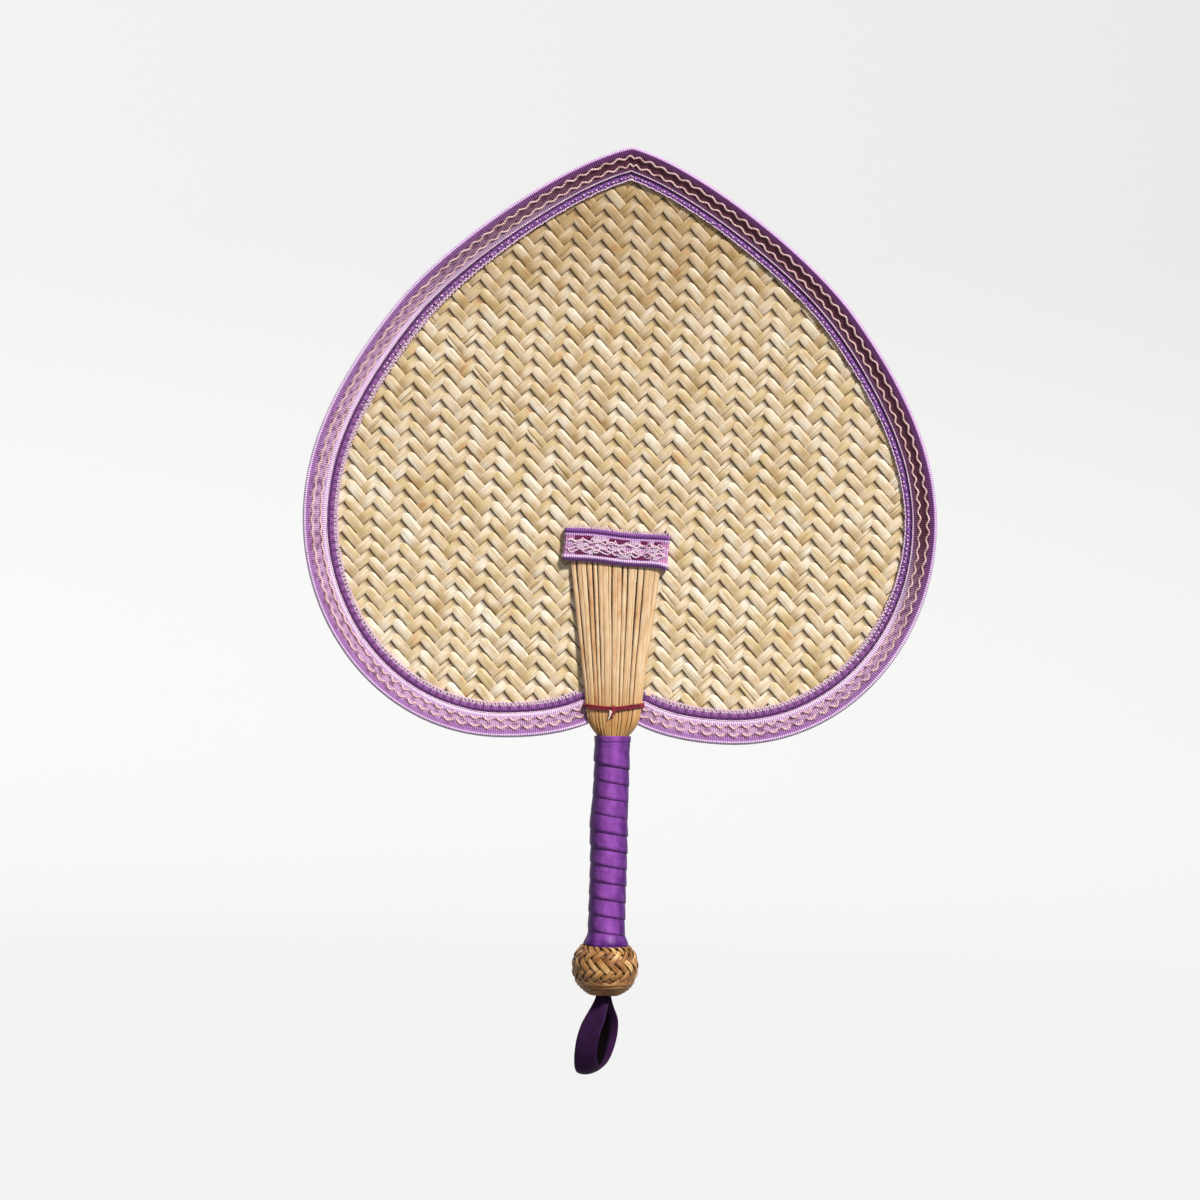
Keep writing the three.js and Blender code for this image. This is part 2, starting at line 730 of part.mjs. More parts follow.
function coreGeometry() {
  const stick = turned([
    [0, coreFoot],
    [CORE_RADIUS, coreFoot],
    [CORE_RADIUS, coreNotch],
    [CORE_TOP_RADIUS, coreTop],
    [0, coreTop],
  ]);
  const height = coreTop - slitFoot;
  const slit = new THREE.BoxGeometry(4 * CORE_RADIUS, 2 * seat, 2 * height);
  slit.translate(0, 0, slitFoot + height);
  return cut(stick, slit);
}

// Knob: a straw cover over a bead, both with a bore for the stick above and the ribbon below
const knobMiddle = knobTop - KNOB_ABOVE_MIDDLE;
const knobFoot = knobMiddle - KNOB_BELOW_MIDDLE;
const bore = CORE_RADIUS + GAP;
const neckBore = NECK_RADIUS + GAP;
const knotSeat = coreFoot - GAP - KNOT_LENGTH - GAP;

function superRound(share) {
  return Math.max(1 - share ** KNOB_FULLNESS, 0) ** (1 / KNOB_FULLNESS);
}

const footRadius = neckBore + KNOB_FOOT_RIM;
const knobHalfHeight = KNOB_BELOW_MIDDLE / superRound(footRadius / KNOB_RADIUS);

function footBelowMiddle(inset) {
  return (knobHalfHeight - inset) * superRound(footRadius / (KNOB_RADIUS - inset));
}

function knobOutline(inset, top) {
  const foot = knobMiddle - footBelowMiddle(inset);
  return Array.from({ length: KNOB_RINGS + 1 }, (_, i) => {
    const share = (1 - Math.cos((Math.PI * i) / KNOB_RINGS)) / 2;
    const z = THREE.MathUtils.lerp(top, foot, share);
    const rise = Math.abs(z - knobMiddle) / (knobHalfHeight - inset);
    return [(KNOB_RADIUS - inset) * superRound(rise), z];
  });
}

const coverInside = KNOB_COVER_THICK + GAP;
const beadTop = knobTop - KNOB_COVER_THICK - GAP;
const beadFoot = knobMiddle - footBelowMiddle(coverInside);

function coverGeometry() {
  const outside = knobOutline(0, knobTop);
  const ceiling = knobTop - KNOB_COVER_THICK;
  const inside = knobOutline(KNOB_COVER_THICK, ceiling).reverse();
  const floor = inside[0][1];
  const neckHole = [
    [neckBore, knobFoot],
    [neckBore, floor],
  ];
  const coreHole = [
    [bore, ceiling],
    [bore, knobTop],
  ];
  return turned([...outside, ...neckHole, ...inside, ...coreHole, outside[0]]);
}

function beadGeometry() {
  const outside = knobOutline(coverInside, beadTop);
  const inside = [
    [neckBore, beadFoot],
    [neckBore, knotSeat],
    [bore, knotSeat],
    [bore, beadTop],
  ];
  return turned([...outside, ...inside, outside[0]]);
}

// Loop anchor: the ribbon's ends, knotted above a shoulder in the bead
const neckFoot = knobFoot - GAP;

function anchorGeometry() {
  const top = coreFoot - GAP;
  return turned([
    [0, top],
    [0.7 * KNOT_RADIUS, top],
    [KNOT_RADIUS, top - KNOT_LENGTH / 2],
    [0.8 * KNOT_RADIUS, top - KNOT_LENGTH],
    [NECK_RADIUS, top - KNOT_LENGTH],
    [NECK_RADIUS, neckFoot],
    [0, neckFoot],
  ]);
}

// Hang loop: swings about the axis of its eye, which lies along the ribbon's width
const loopAxisZ = neckFoot - GAP - LOOP_EYE_RADIUS;
const loopTurn = degrees(LOOP_TURN_DEG);
const loopAcross = new THREE.Vector3(Math.cos(loopTurn), Math.sin(loopTurn), 0);
const loopWidthways = new THREE.Vector3(Math.sin(loopTurn), -Math.cos(loopTurn), 0);

function loopPoint(across, down, widthways) {
  const lean = Math.tan(degrees(LOOP_LEAN_DEG)) * down;
  return new THREE.Vector3(0, 0, loopAxisZ - down)
    .addScaledVector(loopAcross, across)
    .addScaledVector(loopWidthways, widthways - lean);
}

function loopCurvePoints() {
  const upper = new THREE.CubicBezierCurve(
    new THREE.Vector2(0, 0),
    new THREE.Vector2(0.3 * LOOP_HALF_WIDTH, 0.3 * LOOP_BELLY_DOWN),
    new THREE.Vector2(LOOP_HALF_WIDTH, 0.55 * LOOP_BELLY_DOWN),
    new THREE.Vector2(LOOP_HALF_WIDTH, LOOP_BELLY_DOWN),
  );
  const rest = LOOP_LENGTH - LOOP_RIBBON_THICK / 2 - LOOP_BELLY_DOWN;
  const lower = new THREE.CubicBezierCurve(
    new THREE.Vector2(LOOP_HALF_WIDTH, LOOP_BELLY_DOWN),
    new THREE.Vector2(LOOP_HALF_WIDTH, LOOP_BELLY_DOWN + 0.55 * rest),
    new THREE.Vector2(0.55 * LOOP_HALF_WIDTH, LOOP_BELLY_DOWN + rest),
    new THREE.Vector2(0, LOOP_BELLY_DOWN + rest),
  );
  const half = [...upper.getPoints(RIBBON_STEPS / 2), ...lower.getPoints(RIBBON_STEPS / 2).slice(1)];
  const other = half.slice(0, -1).reverse().map((p) => new THREE.Vector2(-p.x, p.y));
  return [...half, ...other];
}

function loopGeometry() {
  const line = loopCurvePoints();
  const half = LOOP_RIBBON_WIDTH / 2;
  const rings = line.map((p, i) => {
    const before = line[Math.max(i - 1, 0)];
    const after = line[Math.min(i + 1, line.length - 1)];
    const along = after.clone().sub(before).normalize();
    const side = new THREE.Vector2(-along.y, along.x).multiplyScalar(LOOP_RIBBON_THICK / 2);
    return [
      loopPoint(p.x + side.x, p.y + side.y, half),
      loopPoint(p.x + side.x, p.y + side.y, -half),
      loopPoint(p.x - side.x, p.y - side.y, -half),
      loopPoint(p.x - side.x, p.y - side.y, half),
    ];
  });
  const band = ringSolid(rings, fanTriangles(4));
  const eyeRing = (widthways) =>
    Array.from({ length: 2 * SECTION_SIDES }, (_, k) => {
      const turn = (Math.PI * k) / SECTION_SIDES;
      return loopPoint(LOOP_EYE_RADIUS * Math.cos(turn), LOOP_EYE_RADIUS * Math.sin(turn), widthways);
    });
  const eye = ringSolid([eyeRing(-half), eyeRing(half)], fanTriangles(2 * SECTION_SIDES));
  return toGeometry(toSolid(band).add(toSolid(eye)));
}

// Assembly
const fan = new THREE.Group();
const head = new THREE.Group();
head.position.z = gripTop;
fan.add(head);

const tie = tiePath();
const tieHoles = tube(tie, TIE_DIA / 2 + GAP, SECTION_SIDES);
head.add(piece("blade", bladeGeometry(tieHoles), STRAW, 0.55));
head.add(piece("rim_cane", caneGeometry(), CANE_BROWN, 0.6));
head.add(piece("edge_binding", bindingGeometry(tieHoles), TAPE_PURPLE, 0.6));

const edges = splintEdges();
for (const [side, facing] of [["front", 1], ["back", -1]]) {
  for (let i = 0; i < SPLINTS_PER_SIDE; i += 1) {
    const name = `${side}_splint_${String(i + 1).padStart(2, "0")}`;
    head.add(piece(name, splintGeometry(edges[i], edges[i + 1], facing), SPLINT_TAN, 0.5));
  }
  const band = piece(`${side}_band`, bandGeometry(facing), BAND_LILAC, 0.6);
  band.position.x = FAN_TOP_SHIFT;
  band.position.z = BAND_Z;
  band.rotation.y = degrees(BAND_TILT_DEG);
  head.add(band);
}

head.add(piece("tie_thread", tube(tie, TIE_DIA / 2, SECTION_SIDES), THREAD_RED, 0.7));
fan.add(piece("handle_core", coreGeometry(), CANE_BROWN, 0.6));

const wrap = wrapRings();
console.log(`handle wrap: least gap between turns ${leastSelfGap(wrap, LOOP_STEPS).toFixed(2)} mm`);
fan.add(piece("handle_wrap", ringSolid(wrap, fanTriangles(SECTION_SIDES)), RIBBON_PURPLE, 0.4));

const tieGap = leastSelfGap(tie.map((point) => [point]), LOOP_STEPS) - TIE_DIA;
console.log(`tie thread: least gap between turns ${tieGap.toFixed(2)} mm`);

fan.add(piece("knob_bead", beadGeometry(), CANE_BROWN, 0.6));
fan.add(piece("knob_cover", coverGeometry(), KNOB_GOLD, 0.55));
fan.add(piece("loop_anchor", anchorGeometry(), RIBBON_PURPLE, 0.4));
fan.add(piece("hang_loop", loopGeometry(), RIBBON_PURPLE, 0.4));

export default fan;
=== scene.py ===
"""A woven straw hand fan: straw, tape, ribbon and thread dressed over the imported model."""
import math
from math import pi, radians, tau

import bpy
import numpy as np
from mathutils import Matrix
from numpy import arange, array, clip, concatenate, cos, interp, linspace, sin, stack


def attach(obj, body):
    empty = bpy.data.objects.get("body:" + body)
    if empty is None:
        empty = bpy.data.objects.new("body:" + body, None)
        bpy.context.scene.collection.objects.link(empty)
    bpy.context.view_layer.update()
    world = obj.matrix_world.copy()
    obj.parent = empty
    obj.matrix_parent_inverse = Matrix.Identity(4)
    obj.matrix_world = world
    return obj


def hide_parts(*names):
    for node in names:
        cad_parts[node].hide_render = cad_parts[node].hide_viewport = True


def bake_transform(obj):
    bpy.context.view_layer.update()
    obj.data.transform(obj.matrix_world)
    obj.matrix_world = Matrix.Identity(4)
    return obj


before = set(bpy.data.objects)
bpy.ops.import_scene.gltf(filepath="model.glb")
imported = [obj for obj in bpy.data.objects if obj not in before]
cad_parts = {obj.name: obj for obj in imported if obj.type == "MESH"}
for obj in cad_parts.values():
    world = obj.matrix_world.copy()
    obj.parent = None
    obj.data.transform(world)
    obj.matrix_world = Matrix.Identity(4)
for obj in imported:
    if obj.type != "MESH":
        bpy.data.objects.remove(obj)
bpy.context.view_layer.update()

MM = 0.001
SIDE_NAMES = {1: "front", -1: "back"}
rng = np.random.default_rng(41)

# The photograph's frame at the fan's plane, in millimetres
FRAME_WIDTH = 509.4
FRAME_CENTRE = (-7.3, 102.1)
FAN_LEAN_DEG = 1.9
CAMERA_DISTANCE = 1350
SENSOR = 36

# Floor: its level in millimetres, and in metres its flat, the radius of its sweep and its top
FLOOR_Z = -300
FLOOR_FLAT = 2.3
FLOOR_SWEEP = 0.9
FLOOR_TOP = 2.6

# Half outline of the blade: place, slope and reach of each curve, from the notch to the tip
NOTCH = (9.5, 50)
NOTCH_SLOPE_DEG = -26
NOTCH_REACH = 13
LOBE = (49, 42.5)
LOBE_REACH = 48
SIDE = (134.5, 136)
SIDE_REACH_DOWN = 51.5
SIDE_REACH_UP = 29.5
SHOULDER = (97, 226)
SHOULDER_SLOPE_DEG = 52.5
SHOULDER_REACH_DOWN = 39.5
SHOULDER_REACH_UP = 33
TIP = (0, 294.5)
TIP_SLOPE_DEG = 12
TIP_REACH = 27

# Weave: one step along a row and up a column, how they lean, and the foot of one chevron
ROW_STEP = 3.109
COLUMN_STEP = 3.226
ROW_LEAN_DEG = 0.8
COLUMN_LEAN_DEG = 3.0
CHEVRON_FOOT = (-51.5, 63.5)
STRIPS_EACH_WAY = 70
STRIP_THICK = 0.34
SHORTEST_STRIP = 0.7
SPLIT_CHANCE = 0.07
WEAVE_EDGE_INSET = 3.2
# Sheet in painted shade between the slants: step round its outline, its middle, and its section as share of
# the outline and height
SHADE_SHEET_STEP = 4.0
SHADE_SHEET_MIDDLE = (0.0, 150.0)
SHADE_SHEET_SECTION = ((0.02, -0.03), (0.5, -0.03), (1.0, -0.03), (1.0, 0.03), (0.5, 0.03), (0.02, 0.03))

# The two slants of strip: ride is how far to the front, lead and round belong to a float's left end
FALLING = dict(width=4.44, crown=0.17, height=0.44, ride=0.09, lead=0.18, round=0.42, tone=(0.0, 0.8))
RISING = dict(width=4.42, crown=0.09, height=0.42, ride=-0.05, lead=0.0, round=0.12, tone=(0.1, 0.95))

# A float comes up steeply at its left end and sinks slowly to its right; cells along one wave
FLOAT_SKEW = 0.5
STRIP_STATIONS = (0, 0.12, 0.26, 0.45, 0.75, 1.15, 1.55, 1.75, 1.97, 2.3, 2.9, 3.5, 3.84)

# Tape of the rim, and the insets and radii of what is sewn on it
RIM_TUCK = 7
RIM_FOOT = (8.0, 50.4)
LIP_LIFT = 2.7
LIP_EASE_LENGTH = 16
LIP_AT_ENDS = 0.12
PUCKER_LENGTH = 4.1
WAVE_LENGTH = 6.0
WAVE_HEIGHT = 0.48
WAVE_INSETS = (4.4, 7.7)
WAVE_RADIUS = 0.43
PICOT_PITCH = 1.8
PICOT_INSET = 13.3
PICOT_RADIUS = 0.34
PICOT_TURN = linspace(-0.3, pi + 0.3, 9)
FLECK_INSET = 12.25
FLECK_RADIUS = 0.4
RIDGE_CORD_INSET = 10.15
RIDGE_CORD_RADIUS = 0.26
SEAM_INSET = 10.85
SEAM_REACH = 1.7
SEAM_RADIUS = 0.2

# Splints
SPLINTS_PER_SIDE = 17
SPLINT_VARIATION = 0.22
SPLINT_VARIATION_TURN = 2.4
SLAT_GROUPS = (1, 2, 1, 1, 3, 2, 1, 2, 1, 3)
SLAT_HEIGHTS = concatenate([linspace(128.4, 40, 60), linspace(36, -43.6, 14)])
SLAT_INNER = 0.42
CLOSE_GAP = 0.015

# Bands
BAND_LENGTH = 43.2
FAN_TOP_SHIFT = -1.2
BAND_Z = 124.8
BAND_TILT_DEG = 3.2
BAND_UNDER = 3.59
BAND_FACE = 0.72
BAND_WAVES = ((0.95, 0.4), (-2.05, 2.6))
BAND_WAVE_RADIUS = 0.44
DASH_RADIUS = 0.34
FLOSS_RADIUS = 0.33
FLOSS_PITCH = 0.66
BAND_PICOT_PITCH = 1.95
BAND_PICOT_RADIUS = 0.3

# Tie
TIE_Z = 57.7
TIE_HALF_WIDTH = 12.8
TIE_DEPTH = 4.5
TIE_BASE = 2.75
TIE_RADIUS = 0.56
TIE_LAY = 2.4
KNOT_Y = -(TIE_DEPTH + TIE_BASE + 0.15)
KNOT_RADIUS = 0.42
TAIL_RADIUS = 0.38
FRAY_RADIUS = 0.27

# Handle and knob
GRIP_TOP = 44
GRIP_FOOT = -44
SPLINT_OUTER_RADIUS = 6.3
WRAP_INNER = SPLINT_OUTER_RADIUS + 0.45
WRAP_START = 3.1
WRAP_PITCH = 7.08
WRAP_WIDTH = 10.4
WRAP_THICK = 0.3
KNOB_TOP = -44.3
KNOB_MIDDLE = -53.2
KNOB_FOOT = -65.2
KNOB_RADIUS = 14.1
KNOB_HALF_HEIGHT = 12.2
KNOB_FULLNESS = 2.2
KNOB_STRIPS = 20
KNOB_ROWS = 10
KNOB_PLAIT_SHARE = 0.7
KNOB_HOOPS = (0.64, 0.69, 0.74, 0.79, 0.84, 0.885)

# Collars of the wrap: top, foot, lift at the foot and at the top, spread over the knob, share of tilt
COLLARS = (
    (GRIP_TOP + 0.5, GRIP_TOP - 8, 0.2, 0.6, 0.0, 1),
    (GRIP_TOP + 0.62, GRIP_TOP - 1.6, 0.66, 0.66, 0.0, 1),
    (GRIP_FOOT + 7.4, GRIP_FOOT - 0.25, 0.5, 0.5, 1.9, 0.4),
)

# Swell of the wrapped grip by height
GRIP_SWELL = ((-44, 0.45), (-36, 0.3), (-4, 0.3), (8, 0.6), (20, 0.1), (32, -0.05), (40, 0.2), (46, 0.25))

# Hang loop
LOOP_AXIS_Z = -67.3
LOOP_WIDTH = 10.5
LOOP_NECK = 3.0
LOOP_THICK = 0.35
LOOP_LENGTH = 32.3
LOOP_HALF_WIDTH = 9.2
LOOP_BELLY_DOWN = 19
LOOP_TURN_DEG = 64
LOOP_LEAN_DEG = 9


def dye(red, green, blue):
    """A colour as it looks on paper, 0 to 255, turned into light."""
    share = [c / 255 for c in (red, green, blue)]
    return tuple(c / 12.92 if c <= 0.04045 else ((c + 0.055) / 1.055) ** 2.4 for c in share) + (1.0,)


# Finishes


class Signal:
    """A shader socket that takes part in Python expressions."""

    def __init__(self, look, socket):
        self.look = look
        self.socket = socket

    def math(self, operation, *others):
        return self.look.node("ShaderNodeMath", {"operation": operation}, dict(enumerate((self, *others))))

    def __add__(self, other):
        return self.math("ADD", other)

    __radd__ = __add__

    def __sub__(self, other):
        return self.math("SUBTRACT", other)

    def __mul__(self, other):
        return self.math("MULTIPLY", other)

    def sine(self):
        return self.math("SINE")

    def between(self, low, high):
        """0 below low, 1 above high, smooth between."""
        settings = {"interpolation_type": "SMOOTHSTEP"}
        return self.look.node("ShaderNodeMapRange", settings, {0: self, 1: low, 2: high, 3: 0.0, 4: 1.0})


class Look:
    """One finish: its material, its nodes and the shader that they feed."""

    def __init__(self, name, constants):
        self.material = bpy.data.materials.new(name)
        self.material.use_nodes = True
        self.tree = self.material.node_tree
        self.shader = self.tree.nodes["Principled BSDF"]
        for socket, value in constants.items():
            self.shader.inputs[socket].default_value = value

    def node(self, kind, settings, sockets, out=0):
        made = self.tree.nodes.new(kind)
        for name, value in settings.items():
            setattr(made, name, value)
        for key, value in sockets.items():
            self.feed(made.inputs[key], value)
        return Signal(self, made.outputs[out])

    def feed(self, socket, value):
        if isinstance(value, Signal):
            self.tree.links.new(value.socket, socket)
        else:
            socket.default_value = value

    def values(self, *names, out="Fac"):
        """Values that the meshes carry on their points."""
        return [self.node("ShaderNodeAttribute", {"attribute_name": name}, {}, out) for name in names]

    def noise(self, place, scale=1.0, detail=2.0):
        return self.node("ShaderNodeTexNoise", {}, {"Vector": place, "Scale": scale, "Detail": detail})

    def grain(self, x, y, z, detail=2.0):
        """Noise at a place that is worked out from other values."""
        return self.noise(self.node("ShaderNodeCombineXYZ", {}, {0: x, 1: y, 2: z}), 1.0, detail)

    def ramp(self, share, shades):
        """A colour by share, from rows of share, red, green and blue."""
        made = self.node("ShaderNodeValToRGB", {}, {0: share})
        stops = made.socket.node.color_ramp.elements
        while len(stops) < len(shades):
            stops.new(1.0)
        for stop, (place, *tint) in zip(stops, shades):
            stop.position = place
            stop.color = dye(*tint)
        return made

    def mix(self, share, first, second, blend="MIX"):
        settings = {"data_type": "RGBA", "blend_type": blend}
        return self.node("ShaderNodeMix", settings, {0: share, 6: first, 7: second}, 2)

    def dim(self, colour, value):
        return self.mix(1.0, colour, value, "MULTIPLY")

    def finish(self, colour, roughness, height, depth):
        """Links the colour, the roughness and a bump of the given depth in metres."""
        bump = self.node("ShaderNodeBump", {}, {"Height": height, "Distance": depth, "Strength": 1.0})
        for socket, value in (("Base Color", colour), ("Roughness", roughness), ("Normal", bump)):
            self.feed(self.shader.inputs[socket], value)
        return self


def straw_look(name, shades, dark, gloss, slit_share, edge_painted_shade, aged):
    """Dried strips: patches of tone along each strip, lengthwise fibres, dark slits, painted shade at the
    edges, darkening by a value on the points and painted shadow by the shade value.
    """
    look = Look(name, {"Specular IOR Level": 0.36, "Sheen Weight": 0.06})
    tone, along, across, age, shade = look.values("tone", "along", "across", "age", "shade")
    patch = look.grain(along * 0.13, across * 0.45, tone * 91)
    grain = look.grain(along * 0.08, across * 4.4, tone * 57, 3.0)
    fibre = look.grain(along * 0.22, across * 11, tone * 33)
    # here the straw's own slits, dark where it is split
    slit_and_painted_shadow = look.grain(along * 0.03, across * 4.2, tone * 23, 0.0)
    slit_and_painted_shadow = slit_and_painted_shadow.between(1 - slit_share, 1 - slit_share + 0.02)
    edge = across.math("ABSOLUTE").between(0.82, 1.0)
    colour = look.ramp(tone * 0.36 + (patch - 0.5) * 1.85 + 0.26, shades)
    colour = look.mix(grain.between(0.46, 0.7) * 0.55, colour, dark)
    colour = look.mix(slit_and_painted_shadow * 0.75, colour, dye(96, 70, 34))
    # painted shade along each strip's edges, where the shadows between strips fall
    colour = look.mix(edge * edge_painted_shade, colour, dye(86, 50, 10))
    # this value darkens and browns: a darker tone by height, with painted shade added where floats dip under
    # and on the knob's lower part
    colour = look.mix(age, colour, look.dim(colour, aged))
    # painted shadow where the shade value is set, at the ends of the rising floats
    colour = look.mix(shade * 0.9, colour, dye(74, 40, 6))
    colour = look.dim(colour, 0.78 + fibre * 0.44)
    roughness = gloss + grain * 0.22 + slit_and_painted_shadow * 0.2
    height = grain * 0.5 + fibre * 0.6 - slit_and_painted_shadow * 0.8
    return look.finish(colour, roughness, height, 0.00012)


def tape_look():
    """Woven tape: zones of colour, which round the rim carry painted light and painted shade, cross ribs of
    the weft and a fine mottle of the yarn.
    """
    look = Look("woven tape", {"Specular IOR Level": 0.3, "Sheen Weight": 0.3, "Sheen Roughness": 0.4})
    run, inset = look.values("run", "inset")
    # the dye value holds the tape's colours, with the rim's painted light and painted shade blended in
    [colour] = look.values("dye", out="Color")
    rib = (run * (tau / 0.92)).sine()
    warp = (inset * (tau / 0.95)).sine()
    yarn = look.grain(run * 1.9, inset * 2.6, 0.0)
    # a broad random mottle of wear
    worn = look.grain(run * 0.11, inset * 0.3, 5.0)
    colour = look.dim(colour, 0.7 + yarn * 0.46 + worn * 0.18 + rib * 0.28 + warp * 0.1)
    return look.finish(colour, 0.52 + yarn * 0.25, rib * 0.6 + yarn * 0.8, 0.00016)


def thread_look(name, tint, shadow, depth=0.00012):
    """Twisted thread: its dye, slanted plies and darker stretches."""
    look = Look(name, {"Specular IOR Level": 0.3, "Sheen Weight": 0.35, "Sheen Roughness": 0.4})
    run, around = look.values("run", "around")
    ply = (run * 5.2 + around * 6.283).sine()
    fade = look.grain(run * 0.16, 3.0, 0.0, 3.0)
    fuzz = look.grain(run * 3.1, around * 4.0, 7.0)
    colour = look.mix(fade.between(0.46, 0.72), tint, shadow)
    colour = look.dim(colour, 0.8 + ply * 0.12 + fuzz * 0.18)
    return look.finish(colour, 0.55 + fuzz * 0.3, ply * 0.6 + fuzz * 0.5, depth)


def satin_look(name, shade, painted_bright, back_painted_shade, back_painted_edge_light, gloss, shine_level):
    """Satin ribbon: a smooth face between a shade colour and a bright colour set by painted light, a dull
    reverse in painted shade that is painted lighter towards one edge, fine warp lines and soft creases
    painted darker in their hollows.
    """
    look = Look(name, {"Specular IOR Level": shine_level, "Sheen Weight": 0.03, "Sheen Roughness": 0.35})
    run, across, reverse, worn = look.values("run", "across", "reverse", "worn")
    warp = look.grain(run * 0.12, across * 13, 0.0)
    weft = look.grain(run * 2.6, across * 3.2, 4.0)
    crease = look.grain(run * 0.42, across * 0.9, 9.0)
    # the face goes to its bright colour by painted light, and to its shade colour in the hollows of creases,
    # which is painted shade
    face = look.mix(crease.between(0.3, 0.75) * 0.35 + worn * 0.65, shade, painted_bright)
    face = look.dim(face, 0.36 + warp * 0.8 + weft * 0.5)
    # the reverse is painted in shade, painted lighter towards one edge
    back = look.mix(across.between(0.1, 0.55), back_painted_shade, back_painted_edge_light)
    back = look.dim(back, 0.8 + weft * 0.4)
    roughness = gloss + weft * 0.14 + reverse * 0.35
    height = weft * 0.7 + warp * 0.25 + crease * 0.3
    return look.finish(look.mix(reverse, face, back), roughness, height, 0.00012)


def cane_look(name, skin, streaks):
    """Split cane: its skin with darker streaks along the grain."""
    look = Look(name, {"Specular IOR Level": 0.4})
    place = look.node("ShaderNodeTexCoord", {}, {}, "Object")
    drawn = look.node("ShaderNodeMapping", {}, {"Vector": place, "Scale": (900, 900, 60)})
    streak = look.noise(drawn, 1.0, 3.0)
    spot = look.noise(place, 240.0)
    colour = look.mix(streak.between(0.35, 0.7), skin, streaks)
    colour = look.dim(colour, 0.8 + spot * 0.35)
    return look.finish(colour, 0.45 + streak * 0.3, streak, 0.0001)


# Lines and paths


def smoothstep(value, low, high):
    share = clip((np.asarray(value, float) - low) / (high - low), 0, 1)
    return share * share * (3 - 2 * share)


def hump(value, middle, width):
    """1 at the middle, falling off smoothly over the width to each side."""
    return np.exp(-(((value - middle) / width) ** 2))


def soften(wave, power):
    """A wave between -1 and 1 with fuller crests and troughs."""
    return np.sign(wave) * abs(wave) ** power


def wander(count, span, size):
    """A smooth random line of count values, with a knot every span values."""
    knots = rng.normal(0, size, int(count / span) + 3)
    return interp(arange(count) / span, arange(len(knots)), knots)


def unit(vectors):
    return vectors / np.linalg.norm(vectors, axis=-1, keepdims=True)


def summed(steps):
    return concatenate([[0], np.cumsum(steps)])


def run_length(path):
    return summed(np.linalg.norm(np.diff(path, axis=0), axis=1))


def directions(path):
    return unit(np.gradient(path, axis=0))


def square_ways(path, up):
    """Ways to the side of a path and up from it."""
    along = directions(path)
    side = unit(np.cross(along, up))
    return side, np.cross(side, along)


def even_stations(path, count):
    """Places evenly spaced along a flat path, and how far along they are."""
    run = run_length(path)
    even = linspace(0, run[-1], count)
    return stack([interp(even, run, column) for column in path.T], -1), even


def stand(flat, front):
    """Places in the fan's plane brought so far to the front."""
    return stack([flat[..., 0], -front, flat[..., 1]], -1)


def turned(radius, turn, z):
    """Places round the handle's axis; the front is at turn 0."""
    return stack([radius * sin(turn), -radius * cos(turn), z], -1)


def bezier(points, count):
    a, b, c, d = (array(p, float) for p in points)
    t = linspace(0, 1, count)[:, None]
    return (1 - t) ** 3 * a + 3 * (1 - t) ** 2 * t * b + 3 * (1 - t) * t * t * c + t ** 3 * d


# Meshes

PATCH_LENGTH = 140
PATCH_GAP = 0.6


def add(name, data):
    made = bpy.data.objects.new(name, data)
    bpy.context.scene.collection.objects.link(made)
    return made


